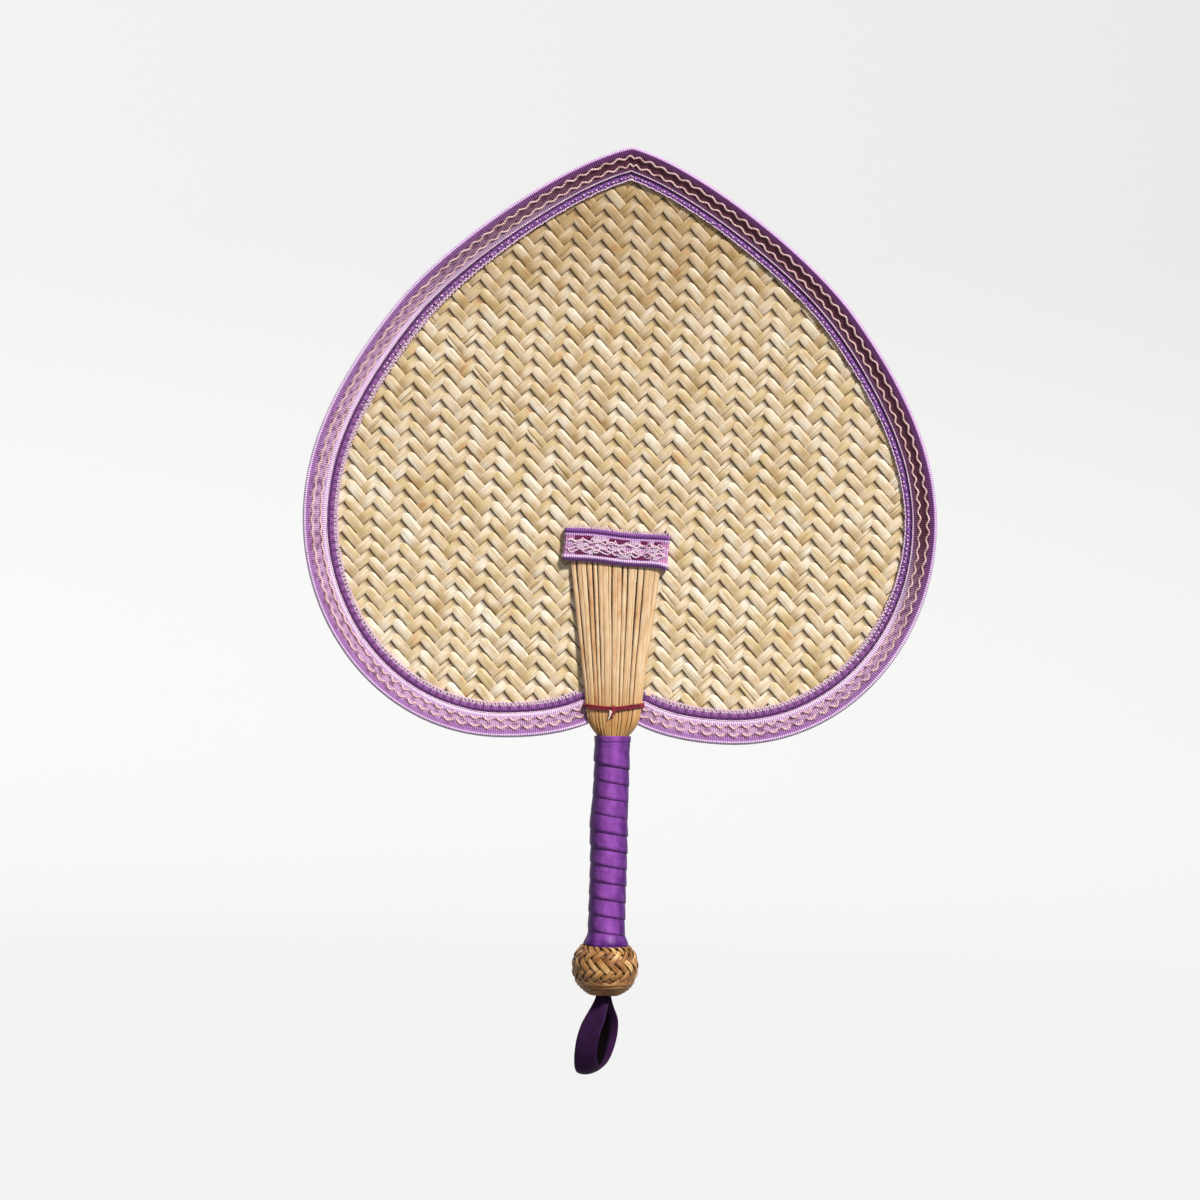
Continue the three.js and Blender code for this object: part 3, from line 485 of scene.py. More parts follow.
class Bag:
    """Swept parts gathered into one mesh, with values on their points and a flat layout of their faces."""

    def __init__(self):
        self.points, self.faces, self.patches = [], [], []
        self.values = {}
        self.count = 0

    def sweep(self, rings, looped=False, **values):
        """Joins closed rings of equal length; the ends are capped unless the rings come round again."""
        rows, cols = rings.shape[:2]
        index = self.count + arange(rows * cols).reshape(rows, cols)
        r, c = arange(rows if looped else rows - 1), arange(cols)
        r1, c1 = (r + 1) % rows, (c + 1) % cols
        corners = [np.ix_(r, c), np.ix_(r, c1), np.ix_(r1, c1), np.ix_(r1, c)]
        quads = stack([index[corner] for corner in corners], -1)
        flats, owners = self.patch(rings, quads.shape)
        caps = [] if looped else [index[0][::-1], index[-1]]
        p, q, s, t = (rings[corner] - rings.mean((0, 1)) for corner in corners)
        if (p * np.cross(q, s)).sum() + (p * np.cross(s, t)).sum() < 0:
            quads = quads[..., ::-1]
            flats = flats[:, :, ::-1]
            caps = [cap[::-1] for cap in caps]
        self.faces.append((quads.ravel(), np.full(quads.size // 4, 4), flats.reshape(-1, 2), owners.ravel()))
        for cap in caps:
            self.faces.append((cap, [cols], np.zeros((cols, 2)), np.full(cols, owners[0, 0, 0])))
        self.points.append(rings.reshape(-1, 3))
        for name, value in values.items():
            shape = (rows, cols, 4) if name == "dye" else (rows, cols)
            spread = np.broadcast_to(np.asarray(value, float), shape)
            self.values.setdefault(name, []).append(spread.reshape(-1, *shape[2:]))
        self.count += rows * cols

    def patch(self, rings, shape):
        """Flat places of a sweep's faces, cut into patches, and the patch that each corner is in."""
        steps = np.linalg.norm(np.roll(rings, -1, 0).mean(1) - rings.mean(1), axis=1)[: shape[0]]
        sides = np.linalg.norm(np.roll(rings, -1, 1) - rings, axis=2).mean(0)
        a, b = summed(steps), summed(sides)
        chunk = np.floor(a[:-1] / PATCH_LENGTH).astype(int)
        _, firsts, owner, counts = np.unique(chunk, True, True, True)
        owners = np.broadcast_to((len(self.patches) + owner)[:, None, None], shape)
        self.patches += [(length, b[-1]) for length in a[firsts + counts] - a[firsts]]
        low, high = a[:-1] - a[firsts][owner], a[1:] - a[firsts][owner]
        flats = np.zeros(shape + (2,))
        flats[..., 0] = stack([low, low, high, high], -1)[:, None]
        flats[..., 1] = stack([b[:-1], b[1:], b[1:], b[:-1]], -1)
        return flats, owners

    def layout(self, flats, owners):
        """Lays the patches out on shelves in a square."""
        sizes = array(self.patches) + PATCH_GAP
        order = np.argsort(-sizes[:, 1], kind="stable")
        best = None
        for share in linspace(0.8, 1.6, 17):
            width = max(sizes[:, 0].max(), share * math.sqrt((sizes[:, 0] * sizes[:, 1]).sum()))
            places = np.zeros_like(sizes)
            x = y = shelf = 0.0
            for k in order:
                if x + sizes[k, 0] > width + 1e-9:
                    x, y, shelf = 0.0, y + shelf, 0.0
                places[k] = (x, y)
                x += sizes[k, 0]
                shelf = max(shelf, sizes[k, 1])
            side = max(width, y + shelf)
            if best is None or side < best[0]:
                best = (side, places)
        side, places = best
        return (flats + places[owners] + PATCH_GAP / 2) / side

    def piece(self, name, look, body="fan"):
        mesh = bpy.data.meshes.new(name)
        points = concatenate(self.points) * MM
        loops, sizes, flats, owners = (concatenate(column) for column in zip(*self.faces))
        mesh.vertices.add(len(points))
        mesh.vertices.foreach_set("co", points.ravel())
        mesh.loops.add(len(loops))
        mesh.loops.foreach_set("vertex_index", loops)
        mesh.polygons.add(len(sizes))
        mesh.polygons.foreach_set("loop_start", summed(sizes)[:-1])
        mesh.update(calc_edges=True)
        mesh.shade_smooth()
        layer = mesh.uv_layers.new(name="OFBake")
        layer.data.foreach_set("uv", self.layout(flats, owners).ravel().astype(np.float32))
        for key, parts in self.values.items():
            kind, field = ("FLOAT_COLOR", "color") if key == "dye" else ("FLOAT", "value")
            layer = mesh.attributes.new(key, kind, "POINT")
            layer.data.foreach_set(field, concatenate(parts).ravel().astype(np.float32))
        mesh.materials.append(look.material)
        made = add(name, mesh)
        if body:
            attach(made, body)
        return made


def round_section(radius, sides):
    turn = tau * arange(sides) / sides
    return stack([radius * cos(turn), radius * sin(turn)], -1)


def sweep_thread(bag, path, radius, up=(0, 1, 0), sides=6):
    """A round thread along a path, thinned at both ends."""
    run = run_length(path)
    taper = np.sqrt(clip(np.minimum(run, run[-1] - run) / radius, 0.02, 1))
    ring = round_section(radius, sides) * taper[:, None, None]
    side, rise = square_ways(path, up)
    rings = path[:, None] + ring[..., :1] * side[:, None] + ring[..., 1:] * rise[:, None]
    bag.sweep(rings, run=run[:, None], around=arange(sides) / sides)


def twist_plies(bag, path, radius, plies, lay, up):
    """Several plies that wind round a path, a turn every lay millimetres."""
    run = run_length(path)
    side, rise = square_ways(path, up)
    for ply in range(plies):
        turn = tau * (run / lay + ply / plies)
        line = path + radius * 0.5 * (cos(turn)[:, None] * side + sin(turn)[:, None] * rise)
        sweep_thread(bag, line, radius * 0.56, up, 5)


# Outline of the blade


def reach(point, degrees, length):
    turn = radians(degrees)
    return (point[0] + length * math.cos(turn), point[1] + length * math.sin(turn))


def half_outline():
    """The right half of the blade's edge: each curve leaves one point and comes in to the next."""
    curves = [
        (NOTCH, NOTCH_SLOPE_DEG, NOTCH_REACH, LOBE, 180, NOTCH_REACH),
        (LOBE, 0, LOBE_REACH, SIDE, -90, SIDE_REACH_DOWN),
        (SIDE, 90, SIDE_REACH_UP, SHOULDER, -SHOULDER_SLOPE_DEG, SHOULDER_REACH_DOWN),
        (SHOULDER, 180 - SHOULDER_SLOPE_DEG, SHOULDER_REACH_UP, TIP, -TIP_SLOPE_DEG, TIP_REACH),
    ]
    parts = [array([NOTCH])]
    for start, leaving, start_reach, end, coming, end_reach in curves:
        points = (start, reach(start, leaving, start_reach), reach(end, coming, end_reach), end)
        parts.append(bezier(points, 160)[1:])
    return concatenate(parts)


def outline(step):
    """Even stations from the left notch over the tip to the right notch: places and outward ways."""
    right = half_outline()
    whole = concatenate([right * (-1, 1), right[::-1][1:]])
    places, _ = even_stations(whole, int(run_length(whole)[-1] / step) + 1)
    along = directions(places)
    window = np.hanning(int(15 / step))
    edge = len(window)
    soft = [np.convolve(np.pad(way, edge, "edge"), window, "same") for way in (-along[:, 1], along[:, 0])]
    return places, unit(stack(soft, -1)[edge:-edge])


class Rim:
    """Stations of the rim, with its tape's height, and places on it."""

    def __init__(self, step):
        places, outward = outline(step)
        shares = linspace(1, 0, RIM_TUCK + 1)[:-1, None]
        ends = []
        for edge, mirror in ((0, (-1, 1)), (-1, (1, 1))):
            place = shares * array(RIM_FOOT) * mirror + (1 - shares) * places[edge]
            way = shares * array([0.0, -1.0]) + (1 - shares) * outward[edge]
            ends.append((place, way))
        self.places = concatenate([ends[0][0], places, ends[1][0][::-1]])
        self.outward = concatenate([ends[0][1], outward, ends[1][1][::-1]])
        self.run = run_length(self.places)
        from_end = np.minimum(self.run, self.run[-1] - self.run) - RIM_TUCK * 0.2
        self.lip = LIP_AT_ENDS + (1 - LIP_AT_ENDS) * smoothstep(from_end, 0, LIP_EASE_LENGTH)

    def at(self, inset, front):
        """Points so far inside the outline and so far to the front, in a row for each station."""
        return stand(self.places[:, None] - inset[..., None] * self.outward[:, None], front)

    def near(self, at):
        """Places and outward ways at lengths along the rim."""
        rows = interp(at, self.run, arange(len(self.run)))
        low = clip(rows.astype(int), 0, len(self.run) - 2)
        share = (rows - low)[:, None]
        return [(1 - share) * table[low] + share * table[low + 1] for table in (self.places, self.outward)]


# Weave


def spans(origin, way, polygon):
    """Stretches of a line that lie inside a polygon."""
    edge = np.roll(polygon, -1, 0) - polygon
    offset = polygon - origin
    det = way[0] * edge[:, 1] - way[1] * edge[:, 0]
    t = (offset[:, 0] * edge[:, 1] - offset[:, 1] * edge[:, 0]) / det
    s = (offset[:, 0] * way[1] - offset[:, 1] * way[0]) / det
    hits = np.sort(t[(s >= 0) & (s < 1)])
    return list(zip(hits[0::2], hits[1::2]))


def strip_section(low, high, crown):
    """A domed strip between two shares of its width, as (share of the width, height) pairs."""
    middle, half = (low + high) / 2, (high - low) / 2
    sideways = middle + half * array([-1, -0.94, -0.55, 0, 0.55, 0.94, 1])
    edge = array([-0.2, 0.3, 0.5, 0.5, 0.5, 0.3, -0.2]) * STRIP_THICK
    top = stack([sideways, edge + crown * (1 - (2 * sideways) ** 2)], -1)
    under = [[middle + half * 0.8, -0.5 * STRIP_THICK], [middle - half * 0.8, -0.5 * STRIP_THICK]]
    return concatenate([top, under])


def strip_stations(first, last, shift):
    """Places along a strip, closest together where it comes up from under its neighbour."""
    waves = arange(math.floor((first + shift) / 4), math.ceil((last + shift) / 4) + 1)
    places = (waves[:, None] * 4 + array(STRIP_STATIONS)).ravel() - shift
    inner = places[(places > first + 0.06) & (places < last - 0.06)]
    return concatenate([[first], inner, [last]])


def straw_age(z):
    """Darkening by height: none at the foot of the blade and most at its tip, where the straw is drawn
    brownest.
    """
    return 0.17 * smoothstep(z, 90, 190) + 0.66 * smoothstep(z, 200, 285)


def weave_field(inset, step=2.0):
    """Outline of the woven straw, so far inside the blade's edge."""
    places, outward = outline(step)
    return places - inset * outward


def weave_strips(name, rises, look):
    """The strips of one slant, over two and under two of the other slant."""
    kind = RISING if rises else FALLING
    row_lean, column_lean = radians(ROW_LEAN_DEG), radians(COLUMN_LEAN_DEG)
    row = array([math.cos(row_lean), -math.sin(row_lean)]) * ROW_STEP
    column = array([math.sin(column_lean), math.cos(column_lean)]) * COLUMN_STEP
    origin = array(CHEVRON_FOOT) - 1.5 * (row - column)
    way, step = (row + column, row - column) if rises else (row - column, row + column)
    length = np.linalg.norm(way)
    square = array([-way[1], way[0]]) / length
    field = weave_field(WEAVE_EDGE_INSET)
    bag = Bag()
    for number in range(-STRIPS_EACH_WAY, STRIPS_EACH_WAY + 1):
        tone = rng.uniform(*kind["tone"])
        width = kind["width"] * rng.uniform(0.96, 1.02)
        split = rng.uniform(-0.2, 0.2) if rng.random() < SPLIT_CHANCE else None
        parts = [(-0.5, 0.5)] if split is None else [(-0.5, split - 0.012), (split + 0.012, 0.5)]
        sideways = rng.normal(0, 0.06)
        start = number + (2.5 if rises else 0.5) + kind["lead"]
        foot = origin + number * step
        for first, last in spans(foot, way, field):
            if last - first < SHORTEST_STRIP:
                continue
            t = strip_stations(first, last, start)
            phase = (t + start) * pi / 2
            wave = soften(sin(phase + FLOAT_SKEW * sin(phase)), 0.85)
            height = kind["ride"] + kind["height"] * wave
            from_end = np.mod(t + start + 2, 4) - 2
            full = width * (1 - kind["round"] * hump(from_end, -0.12, 0.26))
            arch = clip(cos((from_end - 0.5) * pi / 2.2), 0, 1)
            crown = kind["crown"] * (0.6 + 0.6 * arch)
            sway = sideways + wander(len(t), 12, 0.06)
            to_foot = 2 - abs(from_end) if rises else abs(from_end)
            # painted shade towards the foot of each V, where a float dips under the other slant, of random
            # strength
            painted_dip_shade = smoothstep(to_foot, 0.85, 1.9) * clip(0.5 + wander(len(t), 12, 0.4), 0.05, 1.2)
            # painted shadow at the upper right end of each rising float, where it dives under a falling strip
            slit_and_painted_shadow = smoothstep(abs(from_end), 1.6, 1.95) if rises else 0 * t
            # the lower-left edge of each strip reaches further into the painted edge shade, most near a
            # float's left end
            left_painted_shade = 0.93 if rises else 0.9 + 0.16 * hump(from_end, 0.4, 0.55)[:, None]
            middle = foot + t[:, None] * way + sway[:, None] * square
            for low, high in parts:
                second = low > -0.5
                share, rise = strip_section(low, high, 0).T
                dome = (1 - (2 * share) ** 2) * (rise > -0.49 * STRIP_THICK)
                flat = middle[:, None] + (full[:, None] * share)[..., None] * square
                front = height[:, None] + rise + crown[:, None] * dome + 0.04 * second
                bag.sweep(
                    stand(flat, front),
                    tone=(tone + 0.08 * second) % 1,
                    along=(t * length)[:, None] + 400,
                    across=2 * share * np.where(share < 0, left_painted_shade, 0.88),
                    age=straw_age(flat[..., 1]) + 0.62 * painted_dip_shade[:, None],
                    shade=slit_and_painted_shadow[:, None],
                )
    return bag.piece(name, look)


def weave_shade_sheet(look):
    """A dark sheet of straw in painted shade between the two slants, seen only in the slits where they cross.
    """
    field = weave_field(WEAVE_EDGE_INSET + 0.4, SHADE_SHEET_STEP)
    rings = []
    for share, lift in SHADE_SHEET_SECTION:
        flat = SHADE_SHEET_MIDDLE + share * (field - SHADE_SHEET_MIDDLE)
        rings.append(stand(flat, np.full(len(flat), lift)))
    rings = array(rings).transpose(1, 0, 2)
    bag = Bag()
    along = arange(len(field))[:, None] * SHADE_SHEET_STEP
    bag.sweep(rings, looped=True, tone=0.9, along=along, across=0.0, age=straw_age(rings[..., 2]))
    bag.piece("painted_shade_sheet", look)


# Rim

# Colours of the tape in pairs of painted shade and painted light: the first where the tape is painted in
# shade, above and to the right, the second where it is painted lit
PURPLE = (dye(110, 52, 112), dye(156, 104, 166))
PICOT_PURPLE = (dye(128, 72, 156), dye(150, 90, 158))
DEEP_PURPLE = (dye(104, 48, 122), dye(90, 42, 102))
MAUVE = (dye(88, 34, 58), dye(192, 150, 186))
LILAC = (dye(164, 118, 180), dye(222, 184, 230))
PALE_LILAC = (dye(220, 180, 226), dye(238, 208, 242))
RIDGE = (dye(92, 44, 84), dye(240, 210, 244))
RIDGE_FOOT = (dye(84, 36, 62), dye(218, 178, 224))
BROWN = (dye(66, 24, 38), dye(106, 54, 96))

# Section of the tape by dye: inset from the edge, height, share of the lip's lift
TAPE_SECTION = [
    (PICOT_PURPLE, (13.25, 1.08, 0), (13.55, 1.26, 0)),
    (PALE_LILAC, (13.55, 1.5, 0)),
    (PICOT_PURPLE, (13.2, 1.68, 0), (12.7, 1.84, 0), (12.1, 1.9, 0), (11.6, 1.8, 0)),
    (DEEP_PURPLE, (11.2, 1.6, 0), (10.9, 1.44, 0), (10.6, 1.56, 0.01)),
    (PURPLE, (10.35, 1.92, 0.02)),
    (PALE_LILAC, (10.05, 2.18, 0.03)),
    (RIDGE, (9.6, 2.34, 0.05), (9.1, 2.32, 0.08)),
    (RIDGE_FOOT, (8.7, 2.2, 0.1), (8.35, 2.06, 0.12)),
    (MAUVE, (7.5, 2.0, 0.2), (6.6, 2.0, 0.3), (5.7, 2.0, 0.42), (4.8, 2.0, 0.55), (3.9, 2.0, 0.7)),
    (PURPLE, (3.0, 2.0, 0.86), (2.2, 2.0, 1.0), (1.75, 2.0, 1.05)),
    (LILAC, (1.45, 2.12, 1.07)),
    (PALE_LILAC, (1.05, 2.2, 1.05), (0.7, 2.12, 0.98), (0.45, 1.9, 0.9), (0.32, 1.7, 0.78)),
    (LILAC, (0.15, 1.5, 0.62), (0.02, 1.2, 0.4), (0.0, 0.6, 0.12), (0.0, -0.6, 0), (0.12, -1.3, 0)),
    (PURPLE, (0.5, -1.85, 0), (1.2, -2.02, 0)),
    (MAUVE, (2.6, -2.05, 0), (5.0, -2.08, 0), (7.6, -2.08, 0)),
    (LILAC, (9.0, -2.2, 0), (9.8, -2.25, 0)),
    (PURPLE, (10.4, -2.0, 0)),
    (DEEP_PURPLE, (10.8, -1.7, 0), (11.2, -1.95, 0)),
    (PICOT_PURPLE, (12.0, -2.25, 0), (12.9, -2.2, 0)),
    (LILAC, (13.5, -1.9, 0)),
    (PURPLE, (13.4, -1.4, 0), (9.0, -1.25, 0), (2.0, -1.25, 0), (0.8, -1.0, 0), (0.8, 0.6, 0.3)),
    (PURPLE, (1.2, 1.25, 0.85), (2.3, 1.35, 1.0), (3.6, 1.3, 0.82), (6.0, 1.3, 0.4), (9.0, 1.3, 0.05)),
]
FRONT_POINTS = 31

# Way to the painted light on the tape's floats
PAINTED_LIGHT_WAY = array([-0.545, -0.839])


def columns(section):
    """A section's measures and dyes, an array for each."""
    rows = [(*place, tint) for tint, *places in section for place in places]
    return [array(column) for column in zip(*rows)]


def front_height(inset, lip):
    """Height of the tape's front face at an inset."""
    table = sorted(zip(*(column[:FRONT_POINTS] for column in columns(TAPE_SECTION)[:3])))
    insets, base, lift = array(table).T
    return interp(inset, insets, base) + interp(inset, insets, lift) * LIP_LIFT * lip


def painted_light_share(outward):
    """How much painted light the tape's floats get: 0 above and to the right, 1 at the foot and on the left.
    """
    return smoothstep(outward @ PAINTED_LIGHT_WAY, -0.56, 0.02)


def blended(shade, painted_lit, painted_bright):
    return (1 - painted_bright) * array(shade) + painted_bright * array(painted_lit)


def rim_tape(rim, look):
    """The folded tape: puffed inner edge, sewn groove, ridge, cupped face and rolled lip."""
    inset, base, lift, tint = columns(TAPE_SECTION)
    count = len(rim.run)
    run = rim.run[:, None]
    # share of painted light at each station, from painted shade above and to the right to painted light at
    # the foot and on the left
    painted_bright = painted_light_share(rim.outward)[:, None, None]
    pucker = run / PUCKER_LENGTH + wander(count, 9, 0.12)[:, None]
    puff = abs(sin(pi * pucker)) - 0.68
    inner = smoothstep(inset, 10.9, 12.2)
    sway = wander(count, 22, 0.1)[:, None] * smoothstep(inset, 3.0, 9.0)
    front = base + lift * LIP_LIFT * rim.lip[:, None] + 0.42 * puff * inner * np.sign(base)
    spread = inset + sway + 0.16 * puff * smoothstep(inset, 12.5, 13.4)
    # each colour is blended between its painted shade and its painted light; the dashes also reach further
    # out where the tape is painted lit
    tints = blended(tint[:, 0], tint[:, 1], painted_bright)
    wave = sin(tau * run / WAVE_LENGTH) * sin(inset * 1.9)
    outer = 3.2 - 1.2 * painted_bright[..., 0]
    field = smoothstep(inset - outer, 0, 0.8) * (1 - smoothstep(inset, 8.0, 8.6))
    dash = smoothstep(wave + wander(count, 2, 0.3)[:, None], 0.1, 0.7) * field
    tints = tints + dash[..., None] * 0.9 * (blended(*BROWN, painted_bright) - tints)
    # painted shade in the pinches between the puffs
    pinch_shade = clip(-puff / 0.4, 0, 1) * inner
    tints = tints + pinch_shade[..., None] * (blended(*DEEP_PURPLE, painted_bright) - tints)
    bag = Bag()
    bag.sweep(rim.at(spread, front), run=run, inset=inset, dye=tints)
    made = bag.piece("rim_tape", look)
    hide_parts("edge_binding")


def rim_waves(rim, look):
    """Two wavy threads sewn side by side along the tape's face."""
    bag = Bag()
    count = len(rim.run)
    foot = smoothstep(-rim.outward[:, 1], 0.5, 0.8)
    left = smoothstep(-rim.outward[:, 0], 0.5, 0.85)
    for centre in WAVE_INSETS:
        phase = tau * rim.run / WAVE_LENGTH + wander(count, 24, 0.3)
        size = WAVE_HEIGHT * (1 + wander(count, 14, 0.16)) * (1 + 0.6 * foot) * (1 - 0.35 * left)
        inset = centre + size * sin(phase) + wander(count, 40, 0.1)
        front = front_height(inset, rim.lip) + 0.16 + 0.14 * cos(phase)
        path = rim.at(inset[:, None], front[:, None])[:, 0]
        sunk = (-rim.outward[:, 1] > 0.62) & (sin(phase) > 0.93)
        breaks = np.flatnonzero(np.diff(sunk.astype(int))) + 1
        for stretch in np.split(arange(count), breaks):
            if len(stretch) > 5 and not sunk[stretch[0]]:
                sweep_thread(bag, path[stretch], WAVE_RADIUS)
    bag.piece("rim_waves", look)


def rim_picots(rim, look, facing):
    """Small thread loops along the tape's inner edge."""
    bag = Bag()
    across, rise = cos(PICOT_TURN)[:, None], sin(PICOT_TURN)
    count = int(rim.run[-1] * 0.93 / PICOT_PITCH)
    middles = (arange(count) + 0.5) / count * rim.run[-1] + rng.normal(0, 0.08, count)
    for place, outward in zip(*rim.near(middles)):
        along = array([outward[1], -outward[0]])
        # share of painted light here, which also sets the size of the loops
        painted_bright = painted_light_share(outward)
        inset = PICOT_INSET + (0.25 + 1.3 * painted_bright + rng.normal(0, 0.08)) * rise
        width = 0.86 - 0.22 * painted_bright + rng.normal(0, 0.05)
        flat = place - inset[:, None] * outward + width * across * along
        front = facing * (1.58 - 0.16 * painted_bright + 0.06 * clip(rise, 0, 1) + rng.normal(0, 0.03))
        sweep_thread(bag, stand(flat, front), PICOT_RADIUS + 0.06 * painted_bright)
    bag.piece(f"{SIDE_NAMES[facing]}_picots", look)


def rim_flecks(rim, look):
    """Pale floats on the puffed inner edge where the tape is painted in shade, and a fine cord along the
    ridge.
    """
    bag = Bag()
    bow = cos(linspace(-pi / 2, pi / 2, 6))
    for at in arange(8.0, rim.run[-1] - 8.0, PUCKER_LENGTH / 2):
        line = at + rng.normal(0, 0.3) + linspace(-0.55, 0.55, 6) * rng.uniform(0.5, 1.4)
        place, outward = rim.near(line)
        if outward[0] @ PAINTED_LIGHT_WAY > rng.uniform(-0.1, 0.25):
            continue
        flat = place - (FLECK_INSET + rng.normal(0, 0.22)) * outward
        sweep_thread(bag, stand(flat, 1.8 + 0.22 * bow), FLECK_RADIUS, sides=5)
    inset = RIDGE_CORD_INSET + wander(len(rim.run), 18, 0.08)
    front = front_height(inset, rim.lip) + 0.1
    sweep_thread(bag, rim.at(inset[:, None], front[:, None])[:, 0], RIDGE_CORD_RADIUS)
    bag.piece("rim_flecks", look)


def rim_stitches(rim, look, facing):
    """The seam that holds the tape on the straw: a short stitch in every pucker."""
    bag = Bag()
    bow = cos(linspace(-pi / 2, pi / 2, 7))
    for k in range(2, int(rim.run[-1] / PUCKER_LENGTH) - 1):
        place, outward = rim.near(k * PUCKER_LENGTH + linspace(-SEAM_REACH, SEAM_REACH, 7))
        flat = place - SEAM_INSET * outward
        sweep_thread(bag, stand(flat, facing * (1.62 + 0.22 * bow)), SEAM_RADIUS, sides=5)
    bag.piece(f"{SIDE_NAMES[facing]}_seam", look)


# Splints

# Levels of the bundle: height, half width, depth, base and sideways shift
BUNDLE = [
    (128.5, 19.0, 0.5, 1.65, FAN_TOP_SHIFT),
    (116.0, 19.0, 0.97, 1.87, FAN_TOP_SHIFT),
    (65.6, 12.5, 2.9, 2.75, 0.14 * FAN_TOP_SHIFT),
    (57.7, 11.75, 3.2, 2.75, 0.0),
    (51.5, 10.8, 3.6, 2.75, 0.0),
    (47.2, 8.7, 4.6, 1.5, 0.0),
    (44.8, 5.95, 5.55, 0.3, 0.0),
    (-43.7, 5.85, 5.55, 0.3, 0.0),
]


def bundle_table():
    """The bundle's half width, depth, base and shift at fine heights, eased from level to level."""
    z = arange(-46, 132, 0.5)
    heights, *measures = array(BUNDLE[::-1]).T
    window = np.hanning(15)
    window /= window.sum()
    grip = smoothstep(z, GRIP_TOP - 2, GRIP_TOP + 4)
    eased = []
    for measure in measures:
        sharp = interp(z, heights, measure)
        soft = np.convolve(np.pad(sharp, 15, "edge"), window, "same")[15:-15]
        eased.append(grip * soft + (1 - grip) * sharp)
    return z, eased


BUNDLE_Z, BUNDLE_COLUMNS = bundle_table()


def arc_places(z, shares):
    """Places on the bundle's arc at shares of its length, with the ways out of it and that length."""
    half, depth, base, shift = (interp(z, BUNDLE_Z, column) for column in BUNDLE_COLUMNS)
    turn = linspace(pi, 0, 181)
    run = summed(np.hypot(np.diff(half * cos(turn)), np.diff(depth * sin(turn))))
    place = interp(np.asarray(shares) * run[-1], run, turn)
    x, y = half * cos(place), depth * sin(place)
    out = unit(stack([x / half ** 2, y / depth ** 2], -1))
    return stack([x + shift, y + base], -1), out, run[-1]


def splint_edges():
    """Shares of the arc where the slats meet, a little off the even places."""
    widths = 1 + SPLINT_VARIATION * sin(SPLINT_VARIATION_TURN * arange(SPLINTS_PER_SIDE) + 1)
    edges = summed(widths) / widths.sum()
    edges[1:-1] += rng.uniform(-0.2, 0.2, SPLINTS_PER_SIDE - 1) / SPLINTS_PER_SIDE
    return edges


def splint(number, low, high, gaps, tone, facing, look):
    """One slat of the bundle: its edge is round at an open gap and square where it meets its neighbour."""
    count = len(SLAT_HEIGHTS)
    lean = wander(count, 14, 0.07)
    open_up = [clip(1 + wander(count, 9, 0.55), 0.1, 2.4) for _ in gaps]
    open_left, open_right = (float(gap > 0.08) for gap in gaps)
    dome = array([0.45, 0.45, 0.46, 0.45, 0.45])
    dome -= open_left * array([0.22, 0.03, 0, 0, 0]) + open_right * array([0, 0, 0, 0.03, 0.22])
    rock = linspace(-1, 1, 5) * rng.normal(0, 0.03)
    rings = []
    for z, sway, *opened in zip(SLAT_HEIGHTS, lean, *open_up):
        loose = float(smoothstep(z, 44, 60))
        _, _, length = arc_places(z, [0.5])
        spread = 0.35 + 0.65 * float(smoothstep(z, 50, 110))
        left, right = (gap * spread * wide / length for gap, wide in zip(gaps, opened))
        shares = linspace(low + left, high - right, 5) + sway * loose / length
        places, out, _ = arc_places(z, shares)
        outer = places + (dome + rock * loose)[:, None] * out
        inner = places[::2][::-1] - SLAT_INNER * out[::2][::-1]
        x, front = concatenate([outer, inner]).T
        rings.append(stack([x, -facing * front, np.full(len(x), z)], -1))
    side = SIDE_NAMES[facing]
    bag = Bag()
    along = (SLAT_HEIGHTS + 200)[:, None]
    across = array([-0.7 - 0.3 * open_left, -0.4, 0, 0.4, 0.7 + 0.3 * open_right, 1, 0, -1.0])
    age = 1 - smoothstep(SLAT_HEIGHTS, 48, 74)
    bag.sweep(array(rings), tone=tone, along=along, across=across, age=age[:, None])
    made = bag.piece(f"{side}_slat_{number:02d}", look)
    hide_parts(f"{side}_splint_{number:02d}")


def splints(facing, look):
    """The slats of one side; some lie close together and look like one wide slat."""
    edges = splint_edges()
    groups = SLAT_GROUPS[::facing]
    tones = rng.uniform(0.0, 0.7, len(groups))
    tones[2], tones[5] = 1.2, 0.6
    number = 0
    for size, tone in zip(groups, tones):
        for k in range(size):
            wide = rng.uniform(0.1, 0.26, 2)
            gaps = (wide[0] if k == 0 else CLOSE_GAP, wide[1] if k == size - 1 else CLOSE_GAP)
            shade = tone + rng.uniform(0, 0.06)
            splint(number + 1, edges[number], edges[number + 1], gaps, shade, facing, look)
            number += 1


# Bands

# Dyes of the bands
BAND_PURPLE = dye(136, 78, 156)
BAND_DEEP = dye(74, 30, 88)
BAND_MAUVE = dye(190, 128, 172)
BAND_LILAC = dye(212, 172, 222)
BAND_PALE = dye(234, 202, 238)

